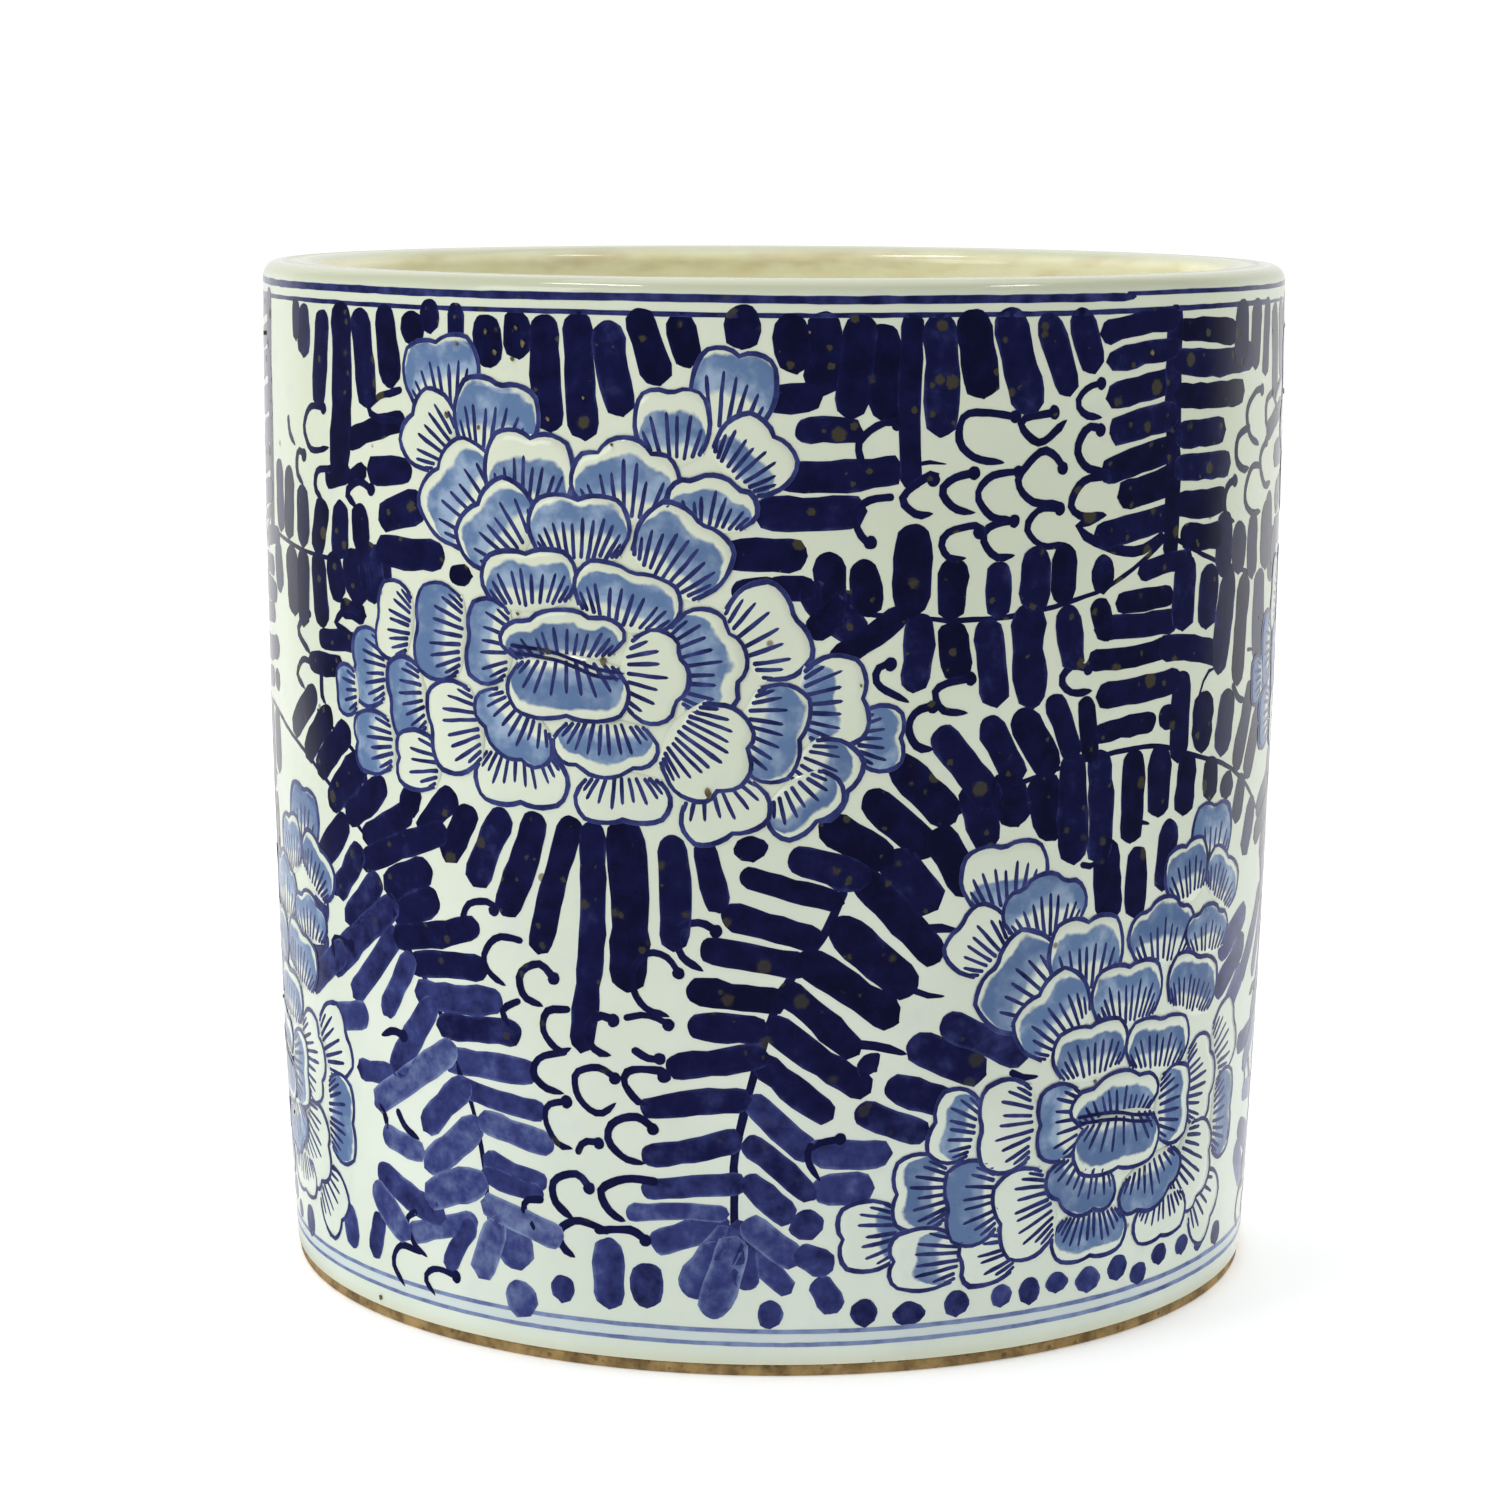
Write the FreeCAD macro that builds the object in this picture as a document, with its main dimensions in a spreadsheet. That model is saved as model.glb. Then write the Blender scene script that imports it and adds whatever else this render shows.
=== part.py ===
import FreeCAD, Part
import math
import os
import re
import Sketcher

# A porcelain brush pot: a thrown wall with a rounded lip, closed by a slab set inside it, standing
# on a turned ring of bare clay. Clear glaze covers the outside, the inside and the underside, and
# two pairs of cobalt lines run round the outside, sunk in the glaze.
# Millimetres, +Z up, origin at the middle of the face that the pot stands on.

SIZES = {
    "rim_radius": "127.0",          # outside of the glaze at the lip
    "foot_radius": "121.3",         # outside of the clay at the foot
    "pot_height": "250.5",          # top of the glaze on the lip
    "side_curve": "4150.0",         # radius of the slight outward curve of the side
    "wall_thickness": "12.5",       # clay only
    "floor_thickness": "12.0",      # clay only
    "glaze_thickness": "0.5",
    "lip_outer_round": "3.2",       # rounding of the clay under the glaze
    "lip_inner_round": "4.0",
    "luting_width": "7.0",          # reach of the coil along the floor and up the wall
    "foot_ring_depth": "3.5",       # from the standing face to the underside of the slab
    "foot_ring_width": "9.5",
    "foot_bevel": "0.8",            # softened outer and inner edges of the standing face
    "bare_edge": "2.8",             # height of the foot that the glaze leaves bare
    "line_depth": "0.25",           # how deep the cobalt lines lie in the glaze
    "upper_thick_drop": "4.4",      # top of the lip down to the middle of the thick line
    "upper_thick_width": "1.5",
    "upper_thin_drop": "7.9",
    "upper_thin_width": "1.0",
    "lower_line_rise": "7.6",       # standing face up to the middle of the lowest line
    "lower_line_gap": "2.9",        # between the two lowest lines
    "lower_line_width": "0.7",
}

doc = FreeCAD.newDocument("BrushPot")
sheet = doc.addObject("Spreadsheet::Sheet", "Sizes")
for row, (alias, number) in enumerate(SIZES.items(), start=1):
    sheet.set(f"A{row}", alias)
    sheet.set(f"B{row}", number)
    sheet.setAlias(f"B{row}", alias)
doc.recompute()

# Places that several pieces share, written in the sheet's names.
CLAY_TOP = "pot_height - glaze_thickness"
CLAY_RIM = "rim_radius - glaze_thickness"
WALL_INSIDE_RIM = f"{CLAY_RIM} - wall_thickness"
WALL_INSIDE_FOOT = "foot_radius - wall_thickness"
SHOULDER_OUT = f"{CLAY_TOP} - lip_outer_round"
SHOULDER_IN = f"{CLAY_TOP} - lip_inner_round"
LIP_FLAT_OUT = f"{CLAY_RIM} - lip_outer_round"
LIP_FLAT_IN = f"{WALL_INSIDE_RIM} + lip_inner_round"
CREST = f"{CLAY_RIM} - (wall_thickness + lip_outer_round - lip_inner_round) / 2"
INSIDE_DRAFT = f"({CLAY_RIM} - foot_radius) / ({SHOULDER_IN} - foot_ring_depth)"
FLOOR_TOP = "foot_ring_depth + floor_thickness"
FLOOR_EDGE = f"{WALL_INSIDE_FOOT} + {INSIDE_DRAFT} * floor_thickness"
COIL_TOP = f"{FLOOR_TOP} + luting_width"
COIL_EDGE = f"{WALL_INSIDE_FOOT} + {INSIDE_DRAFT} * (floor_thickness + luting_width)"
COIL_INNER = f"{FLOOR_EDGE} - luting_width"
COIL_CURVE = "luting_width * 1.2"      # a little flatter than the corner, to meet both faces at an edge
FOOT_INSIDE = "foot_radius - foot_ring_width"


def bound(text):
    """The same expression with every name pointing at its cell."""
    return re.sub(r"[a-z_]+", lambda name: "Sizes." + name.group(0), text)


def value(text):
    """What an expression comes to, in millimetres."""
    result = sheet.evalExpression(bound(text))
    return float(getattr(result, "Value", result))


def origin_plane(body, role):
    return next(part for part in body.Origin.OriginFeatures if part.Role == role)


def arc_between(start, end, radius, bulge):
    """Arc from start to end that bulges to the left (+1) or right (-1) of the way it runs."""
    chord = end - start
    middle = (start + end) / 2
    left = FreeCAD.Vector(-chord.y, chord.x, 0).normalize()
    reach = math.sqrt(max(radius ** 2 - (chord.Length / 2) ** 2, 0.0))
    centre = middle - left * (reach * bulge)
    crown = centre + left * (radius * bulge)
    return Part.Arc(start, crown, end), centre


def pin_to(sketch, place, geometry, end, number, axis):
    """Holds one coordinate of a corner at an expression, or on the axis where it is zero."""
    x_way = axis == "X"
    if abs(value(number)) < 1e-9:
        sketch.addConstraint(Sketcher.Constraint("PointOnObject", geometry, end, -2 if x_way else -1))
        return
    kind = "DistanceX" if x_way else "DistanceY"
    sketch.addConstraint(Sketcher.Constraint(kind, -1, 1, geometry, end, value(number)))
    name = f"{place}_{axis}"
    sketch.renameConstraint(sketch.ConstraintCount - 1, name)
    sketch.setExpression(f"Constraints.{name}", bound(number))


def revolved(label, corners):
    """A body turned about Z from a closed outline.

    Each corner is (radius, height, edge): the first two are expressions, and the edge that leaves
    the corner is None for a straight line, or (radius expression, bulge) for an arc.
    """
    body = doc.addObject("PartDesign::Body", label)
    sketch = body.newObject("Sketcher::SketchObject", f"{label}_outline")
    sketch.AttachmentSupport = [(origin_plane(body, "XZ_Plane"), "")]
    sketch.MapMode = "FlatFace"
    points = [FreeCAD.Vector(value(across), value(up), 0) for across, up, _ in corners]
    starts, ends = [], []
    for number, (across, up, edge) in enumerate(corners):
        start, end = points[number], points[(number + 1) % len(points)]
        if edge is None:
            geometry = sketch.addGeometry(Part.LineSegment(start, end))
            starts.append((geometry, 1))
            ends.append((geometry, 2))
        else:
            radius, bulge = edge
            shape, centre = arc_between(start, end, value(radius), bulge)
            geometry = sketch.addGeometry(shape)
            turns_left = (start - centre).cross(end - centre).z > 0
            starts.append((geometry, 1 if turns_left else 2))
            ends.append((geometry, 2 if turns_left else 1))
            sketch.addConstraint(Sketcher.Constraint("Radius", geometry, value(radius)))
            sketch.renameConstraint(sketch.ConstraintCount - 1, f"arc_{number}")
            sketch.setExpression(f"Constraints.arc_{number}", bound(radius))
    for number, (across, up, _) in enumerate(corners):
        sketch.addConstraint(Sketcher.Constraint("Coincident", *ends[number - 1], *starts[number]))
        pin_to(sketch, f"corner_{number}", *starts[number], across, "X")
        pin_to(sketch, f"corner_{number}", *starts[number], up, "Y")
    turning = body.newObject("PartDesign::Revolution", f"{label}_turning")
    turning.Profile = sketch
    turning.ReferenceAxis = (sketch, ["V_Axis"])
    turning.Angle = 360.0
    body.Tip = turning
    body.Label = label
    return body


def line_slab(name, middle, width):
    """A wide flat disc that marks the height and width of one painted line."""
    slab = doc.addObject("Part::Cylinder", name)
    slab.setExpression("Radius", bound("rim_radius + foot_radius"))
    slab.setExpression("Height", bound(width))
    slab.setExpression("Placement.Base.z", bound(f"{middle} - {width} / 2"))
    return slab


def painted_lines(label, slabs, coat, sleeve):
    """Where the coat, the sleeve and the slabs meet: a group of separate rings."""
    zones = doc.addObject("Part::MultiFuse", f"{label}_zones")
    zones.Shapes = slabs
    cutter = doc.addObject("Part::Common", f"{label}_cutter")
    cutter.Base, cutter.Tool = sleeve, zones
    lines = doc.addObject("Part::Common", label)
    lines.Base, lines.Tool = coat, cutter
    lines.Label = label
    return lines, cutter


SIDE_OUT = ("side_curve", -1)
SIDE_BACK = ("side_curve", 1)

# The thrown wall: side, rounded lip, and an inside face with a slight draft.
wall = revolved("wall", [
    ("foot_radius", "foot_ring_depth", SIDE_OUT),
    (CLAY_RIM, SHOULDER_OUT, ("lip_outer_round", -1)),
    (LIP_FLAT_OUT, CLAY_TOP, None),
    (LIP_FLAT_IN, CLAY_TOP, ("lip_inner_round", -1)),
    (WALL_INSIDE_RIM, SHOULDER_IN, None),
    (WALL_INSIDE_FOOT, "foot_ring_depth", None),
])

# The slab that closes the bottom, its edge drafted to fit the wall.
base_disc = revolved("base_disc", [
    ("0", "foot_ring_depth", None),
    (WALL_INSIDE_FOOT, "foot_ring_depth", None),
    (FLOOR_EDGE, FLOOR_TOP, None),
    ("0", FLOOR_TOP, None),
])

# The coil pressed into the corner between the slab and the wall.
luting_fillet = revolved("luting_fillet", [
    (COIL_INNER, FLOOR_TOP, None),
    (FLOOR_EDGE, FLOOR_TOP, None),
    (COIL_EDGE, COIL_TOP, (COIL_CURVE, 1)),
])

# The turned ring that the pot stands on, its standing face softened at both edges.
foot_ring = revolved("foot_ring", [
    (f"{FOOT_INSIDE} + foot_bevel", "0", None),
    ("foot_radius - foot_bevel", "0", None),
    ("foot_radius", "foot_bevel", None),
    ("foot_radius", "foot_ring_depth", None),
    (FOOT_INSIDE, "foot_ring_depth", None),
    (FOOT_INSIDE, "foot_bevel", None),
])

# Glaze under the base, inside the foot ring.
base_glaze = revolved("base_glaze", [
    ("0", "foot_ring_depth - glaze_thickness", None),
    (FOOT_INSIDE, "foot_ring_depth - glaze_thickness", None),
    (FOOT_INSIDE, "foot_ring_depth", None),
    ("0", "foot_ring_depth", None),
])

# Glaze over the inner half of the lip, down the inside and over the floor.
inner_glaze = revolved("inner_glaze", [
    ("0", FLOOR_TOP, None),
    (COIL_INNER, FLOOR_TOP, (COIL_CURVE, -1)),
    (COIL_EDGE, COIL_TOP, None),
    (WALL_INSIDE_RIM, SHOULDER_IN, ("lip_inner_round", 1)),
    (LIP_FLAT_IN, CLAY_TOP, None),
    (CREST, CLAY_TOP, None),
    (CREST, "pot_height", None),
    (LIP_FLAT_IN, "pot_height", ("lip_inner_round + glaze_thickness", -1)),
    (f"{WALL_INSIDE_RIM} - glaze_thickness", SHOULDER_IN, None),
    (f"{COIL_EDGE} - glaze_thickness", COIL_TOP, (f"{COIL_CURVE} - glaze_thickness", 1)),
    (COIL_INNER, f"{FLOOR_TOP} + glaze_thickness", None),
    ("0", f"{FLOOR_TOP} + glaze_thickness", None),
])

# Glaze over the outside and the outer half of the lip, before the lines are let into it.
coat = revolved("outer_coat", [
    ("foot_radius", "bare_edge", None),
    ("foot_radius + glaze_thickness", "bare_edge", SIDE_OUT),
    ("rim_radius", SHOULDER_OUT, ("lip_outer_round + glaze_thickness", -1)),
    (LIP_FLAT_OUT, "pot_height", None),
    (CREST, "pot_height", None),
    (CREST, CLAY_TOP, None),
    (LIP_FLAT_OUT, CLAY_TOP, ("lip_outer_round", 1)),
    (CLAY_RIM, SHOULDER_OUT, SIDE_BACK),
    ("foot_radius", "foot_ring_depth", None),
])

# A sleeve whose inside lies line_depth under the glaze's surface and whose outside is clear of it.
sleeve = revolved("line_sleeve", [
    ("foot_radius + glaze_thickness - line_depth", "bare_edge", None),
    ("foot_radius + 2 * glaze_thickness", "bare_edge", SIDE_OUT),
    ("rim_radius + glaze_thickness", CLAY_TOP, None),
    ("rim_radius - line_depth", CLAY_TOP, None),
    ("rim_radius - line_depth", SHOULDER_OUT, SIDE_BACK),
])

upper_lines, upper_cutter = painted_lines("upper_border_lines", [
    line_slab("upper_thick_slab", "pot_height - upper_thick_drop", "upper_thick_width"),
    line_slab("upper_thin_slab", "pot_height - upper_thin_drop", "upper_thin_width"),
], coat, sleeve)
lower_lines, lower_cutter = painted_lines("lower_border_lines", [
    line_slab("lower_slab", "lower_line_rise", "lower_line_width"),
    line_slab("higher_slab", "lower_line_rise + lower_line_gap", "lower_line_width"),
], coat, sleeve)

all_lines = doc.addObject("Part::MultiFuse", "all_line_cutters")
all_lines.Shapes = [upper_cutter, lower_cutter]
outer_glaze = doc.addObject("Part::Cut", "outer_glaze")
outer_glaze.Base, outer_glaze.Tool = coat, all_lines
outer_glaze.Label = "outer_glaze"

doc.recompute()

for item in doc.Objects:
    if {"Invalid", "Error"} & set(item.State):
        raise RuntimeError(f"{item.Label} did not build: {item.State}")

nodes = [wall, base_disc, luting_fillet, foot_ring, base_glaze, inner_glaze, outer_glaze,
         upper_lines, lower_lines]
os.makedirs("parts", exist_ok=True)
for node in nodes:
    shape = node.Shape
    if shape.isNull() or not shape.isValid() or not shape.Solids:
        raise RuntimeError(f"{node.Label} has no valid solid")
    shape.exportStep(f"parts/{node.Label}.step")
    box = shape.optimalBoundingBox(False)
    print(f"{node.Label}: {len(shape.Solids)} solid(s), {shape.Volume / 1000:.1f} cm3, "
          f"z {box.ZMin:.2f} to {box.ZMax:.2f}, radius {box.XMax:.2f}")
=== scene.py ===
import math
import random

import bpy
import numpy as np
from mathutils import Matrix, Vector


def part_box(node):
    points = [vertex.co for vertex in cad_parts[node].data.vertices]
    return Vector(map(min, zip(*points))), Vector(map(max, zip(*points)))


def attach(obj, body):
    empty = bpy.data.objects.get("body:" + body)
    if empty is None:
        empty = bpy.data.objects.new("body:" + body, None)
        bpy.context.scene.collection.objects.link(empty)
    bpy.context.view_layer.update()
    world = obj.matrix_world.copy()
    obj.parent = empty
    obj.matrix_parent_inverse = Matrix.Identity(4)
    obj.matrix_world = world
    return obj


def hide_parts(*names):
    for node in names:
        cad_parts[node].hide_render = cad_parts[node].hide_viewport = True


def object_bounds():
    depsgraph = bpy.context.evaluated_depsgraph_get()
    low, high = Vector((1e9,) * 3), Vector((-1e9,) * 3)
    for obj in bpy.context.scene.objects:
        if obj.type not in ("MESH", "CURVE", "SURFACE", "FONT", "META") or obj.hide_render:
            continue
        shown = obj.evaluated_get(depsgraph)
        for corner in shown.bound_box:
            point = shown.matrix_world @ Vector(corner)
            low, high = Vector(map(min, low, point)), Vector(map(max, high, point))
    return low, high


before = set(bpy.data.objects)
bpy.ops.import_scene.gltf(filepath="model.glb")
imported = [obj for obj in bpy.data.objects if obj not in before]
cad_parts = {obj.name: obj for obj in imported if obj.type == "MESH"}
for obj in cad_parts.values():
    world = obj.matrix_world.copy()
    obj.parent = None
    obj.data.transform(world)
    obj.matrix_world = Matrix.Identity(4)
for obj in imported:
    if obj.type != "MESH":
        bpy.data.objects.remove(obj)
cad_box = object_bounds()

# A wheel-thrown porcelain brush pot, painted in cobalt under a clear greenish glaze.
# Lengths are millimetres until they reach a mesh or a node. The painting is planned on the
# unrolled wall: across is the arc length at the lip, counted from the front towards the right,
# and up is the height.

MM = 0.001


def reach(node):
    """How far a CAD node reaches from the pot's axis."""
    return round(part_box(node)[1][0] / MM, 1)


POT_HEIGHT = round(cad_box[1][2] / MM, 1)
GLAZE_EDGE = round(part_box("outer_glaze")[0][2] / MM, 1)
FOOT_OUTSIDE = reach("foot_ring")
FOOT_INSIDE = reach("base_glaze")
FOOT_CORNER = 0.8
UNDERSIDE = 3.5
COAT = 0.5
RIM_RADIUS = 127.0
FOOT_RADIUS = FOOT_OUTSIDE + COAT
LIP_OUTER_ROUND = 3.7
LIP_INNER_ROUND = 4.5
SHOULDER_HEIGHT = POT_HEIGHT - LIP_OUTER_ROUND
SIDE_BELLY = 1.79
LIP_CREST = 120.65
INSIDE_RIM = 113.5
FLOOR_TOP = 16.0
CORNER_ROUND = 6.6
CORNER_RADIUS = 108.7
THIRD = 2 * math.pi * RIM_RADIUS / 3
FRONT = (-162.0, 158.0)
SEED = 7


def linear(code):
    """Linear colour from an sRGB hex code."""
    parts = [int(code[i:i + 2], 16) / 255 for i in (1, 3, 5)]
    toned = [p / 12.92 if p <= 0.04045 else ((p + 0.055) / 1.055) ** 2.4 for p in parts]
    return (*toned, 1.0)


MODES = {
    "Math": "operation",
    "VectorMath": "operation",
    "MapRange": "interpolation_type",
    "Mix": "data_type",
    "InputNamedAttribute": "data_type",
}


def add(tree, kind, links=(), out=0, **settings):
    """Adds one node. Its kind is named without the prefix, then its mode. Links gives the
    sockets, in order or by name, their values, hex colours or other sockets. Returns one of
    the node's outputs, or the node itself when out is None."""
    kind, *mode = kind.split()
    family = next(f for f in ("ShaderNode", "GeometryNode", "") if hasattr(bpy.types, f + kind))
    node = tree.nodes.new(family + kind)
    for name, value in (*((MODES[kind], m) for m in mode), *settings.items()):
        setattr(node, name, value)
    for socket, value in links.items() if isinstance(links, dict) else enumerate(links):
        if isinstance(value, bpy.types.NodeSocket):
            tree.links.new(value, node.inputs[socket])
        else:
            tint = isinstance(value, str) and value.startswith("#")
            node.inputs[socket].default_value = linear(value) if tint else value
    return node if out is None else node.outputs[out]


def every(size):
    """Texture scale whose lumps or cells are that many millimetres across."""
    return 1 / (size * MM)


# ---------------------------------------------------------------- finishes


def new_finish(name):
    """A new material, with its node tree, its Principled shader and its Object coordinates."""
    finish = bpy.data.materials.new(name)
    finish.use_nodes = True
    tree = finish.node_tree
    place = add(tree, "TexCoord", out="Object")
    return finish, tree, tree.nodes["Principled BSDF"], place


def pit_marks(tree, place, spacing, size):
    """1 inside small round marks of up to that size, at most one per spacing, else 0."""
    cells = add(tree, "TexVoronoi", {"Vector": place, "Scale": every(spacing)}, None)
    chosen = add(tree, "SeparateColor", (cells.outputs["Color"],))
    wide = add(tree, "Math MULTIPLY", (chosen, size / spacing))
    inside = add(tree, "Math SUBTRACT", (wide, cells.outputs["Distance"]))
    return add(tree, "MapRange SMOOTHSTEP", (inside, 0.0, 0.35 * size / spacing))


def glaze_surface(tree, shader, place, pits, roughness=0.09):
    """Clear fired glaze: glass on clay, so it is glossy with a slow orange-peel wave and pits."""
    slow = add(tree, "TexNoise", {"Vector": place, "Scale": every(14.0), "Detail": 1.0})
    fine = add(tree, "TexNoise", {"Vector": place, "Scale": every(2.6)})
    wave = add(tree, "Math MULTIPLY", (slow, 2.2))
    wave = add(tree, "Math MULTIPLY_ADD", (fine, 0.28, wave))
    height = add(tree, "Math MULTIPLY_ADD", (pits, -0.55, wave))
    bump = add(tree, "Bump", {"Height": height, "Distance": 0.05 * MM, "Strength": 0.8})
    rough = add(tree, "Math MULTIPLY_ADD", (pits, 0.3, roughness))
    tree.links.new(bump, shader.inputs["Normal"])
    tree.links.new(rough, shader.inputs["Roughness"])
    shader.inputs["IOR"].default_value = 1.5


def cloudy(tree, place, size, start, end, full=1.0, detail=2.0, rough=0.5):
    """Soft patches of noise: 0 where it is under start, full where it is over end."""
    lumps = {"Vector": place, "Scale": every(size), "Detail": detail, "Roughness": rough}
    return add(tree, "MapRange SMOOTHSTEP", (add(tree, "TexNoise", lumps), start, end, 0.0, full))


def layered(tree, colour, *layers):
    """A colour with others laid over it in turn, each by its amount."""
    for amount, over in layers:
        colour = add(tree, "Mix RGBA", {0: amount, 6: colour, 7: over}, 2)
    return colour


def white_ground(tree, place):
    """Colour of the bare glazed ground: greenish cream white, cloudy, with iron pinholes."""
    height = add(tree, "SeparateXYZ", (place,), 2)
    cloud = cloudy(tree, place, 55.0, 0.35, 0.68, detail=3.0)
    warm = add(tree, "MapRange SMOOTHSTEP", (height, 0.03, 0.2, 0.0, 0.45))
    bloom = cloudy(tree, place, 9.0, 0.56, 0.78, 0.35, 3.0)
    pits = pit_marks(tree, place, 17.0, 1.3)
    seen = add(tree, "Math MULTIPLY", (pits, 0.8))
    layers = ((cloud, "#dde6da"), (warm, "#d5dabb"), (bloom, "#c9d3d6"), (seen, "#6b5535"))
    return layered(tree, "#d3ddcf", *layers), pits


def glazed_porcelain():
    """Porcelain dipped in clear glaze: glossy, hazed blue between the low lines, olive at the
    foot, where the glaze is thin and the clay shows through, and a darker olive at the lip, which
    is painted shade on the upturned lip against the light that falls on it from above."""
    finish, tree, shader, place = new_finish("glazed_porcelain")
    ground, pits = white_ground(tree, place)
    height = add(tree, "SeparateXYZ", (place,), 2)
    above = add(tree, "MapRange SMOOTHSTEP", (height, 0.0075, 0.0085, 0.0, 0.35))
    below = add(tree, "MapRange SMOOTHSTEP", (height, 0.0118, 0.0108))
    haze = add(tree, "Math MULTIPLY", (above, below))
    # Painted shade: the upturned lip is darkened to grey olive, against the light that falls on
    # its top.
    lip = add(tree, "MapRange SMOOTHSTEP", (height, 0.2464, 0.2492, 0.0, 0.8))
    foot = add(tree, "MapRange SMOOTHSTEP", (height, 0.0062, 0.003, 0.0, 0.4))
    colour = layered(tree, ground, (haze, "#b4c4da"), (lip, "#bcbfa4"), (foot, "#cbc7a4"))
    tree.links.new(colour, shader.inputs["Base Color"])
    glaze_surface(tree, shader, place, pits)
    return finish


def glazed_interior():
    """The inside coat: the same glaze, poured thick, cream yellow with long brown tea stains, and
    painted shade in grey olive along the lip.
    """
    finish, tree, shader, place = new_finish("glazed_interior")
    height = add(tree, "SeparateXYZ", (place,), 2)
    pits = pit_marks(tree, place, 17.0, 1.6)
    bands = add(tree, "Mapping", {"Vector": place, "Scale": (0.35, 0.35, 1.0)})
    patch = cloudy(tree, bands, 14.0, 0.4, 0.7, 1.0, 4.0, 0.6)
    stain = cloudy(tree, bands, 11.0, 0.5, 0.72, 0.45, 3.0)
    seen = add(tree, "Math MULTIPLY", (pits, 0.7))
    # Painted shade: the lip is laid over in grey olive, darker than the glaze, where light falls
    # on its top.
    lip = add(tree, "MapRange SMOOTHSTEP", (height, 0.2476, 0.2502, 0.0, 0.85))
    layers = ((patch, "#e6e0b4"), (stain, "#b3935c"), (seen, "#7d6337"), (lip, "#bcc0a8"))
    tree.links.new(layered(tree, "#f4f3d4", *layers), shader.inputs["Base Color"])
    glaze_surface(tree, shader, place, pits, 0.14)
    return finish


def bare_clay(name, low, high, roughness):
    """Unglazed fired porcelain clay: dry and sandy, toasted by the kiln, with dark grit."""
    finish, tree, shader, place = new_finish(name)
    tone = cloudy(tree, place, 6.0, 0.3, 0.72, 1.0, 5.0, 0.65)
    grit = pit_marks(tree, place, 2.2, 0.8)
    seen = add(tree, "Math MULTIPLY", (grit, 0.6))
    colour = layered(tree, low, (tone, high), (seen, "#5a4426"))
    grain = {"Vector": place, "Scale": every(0.9), "Detail": 3.0, "Roughness": 0.6}
    height = add(tree, "Math SUBTRACT", (add(tree, "TexNoise", grain), grit))
    bump = add(tree, "Bump", {"Height": height, "Distance": 0.2 * MM, "Strength": 0.7})
    tree.links.new(colour, shader.inputs["Base Color"])
    tree.links.new(bump, shader.inputs["Normal"])
    shader.inputs["Roughness"].default_value = roughness
    shader.inputs["IOR"].default_value = 1.45
    return finish


def painted_cobalt():
    """Cobalt oxide brushed on under clear glaze: near black navy where the brush was full, blue
    where it ran dry, with olive iron blooms where the paint is thick."""
    finish, tree, shader, place = new_finish("painted_cobalt")
    load = add(tree, "Attribute", out="Fac", attribute_name="load")
    side = add(tree, "Attribute", out="Fac", attribute_name="across")
    side = add(tree, "Math ABSOLUTE", (side,))
    thin_rim = add(tree, "MapRange SMOOTHSTEP", (side, 0.7, 1.0, 0.0, -0.2))
    mottle = {"Vector": place, "Scale": every(5.0), "Detail": 3.0, "Roughness": 0.6}
    mottle = add(tree, "Math MULTIPLY_ADD", (add(tree, "TexNoise", mottle), 0.9, -0.45))
    depth = add(tree, "Math ADD", (load, thin_rim))
    depth = add(tree, "Math ADD", (depth, mottle))
    wet, full, pooled = (
        add(tree, "MapRange SMOOTHSTEP", (depth, start, end))
        for start, end in ((-0.15, 0.5), (0.35, 0.9), (0.85, 1.25))
    )
    shake = add(tree, "TexNoise", {"Vector": place, "Scale": 900.0}, 1)
    wavy = add(tree, "VectorMath MULTIPLY_ADD", (shake, (1.1 * MM, 1.1 * MM, 1.1 * MM), place))
    large = pit_marks(tree, wavy, 8.0, 2.3)
    small = pit_marks(tree, wavy, 4.6, 1.2)
    bloom = add(tree, "Math MAXIMUM", (large, small))
    height = add(tree, "SeparateXYZ", (place,), 2)
    high = add(tree, "MapRange SMOOTHSTEP", (height, 0.02, 0.17, 0.35))
    thick = add(tree, "MapRange SMOOTHSTEP", (load, 0.55, 0.8))
    for share in (high, thick):
        bloom = add(tree, "Math MULTIPLY", (bloom, share))
    seen = add(tree, "Math MULTIPLY", (bloom, 0.9))
    layers = ((wet, "#384078"), (full, "#11143f"), (pooled, "#0a0b2b"), (seen, "#423e2c"))
    tree.links.new(layered(tree, "#8394b8", *layers), shader.inputs["Base Color"])
    glaze_surface(tree, shader, place, bloom)
    return finish


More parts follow.
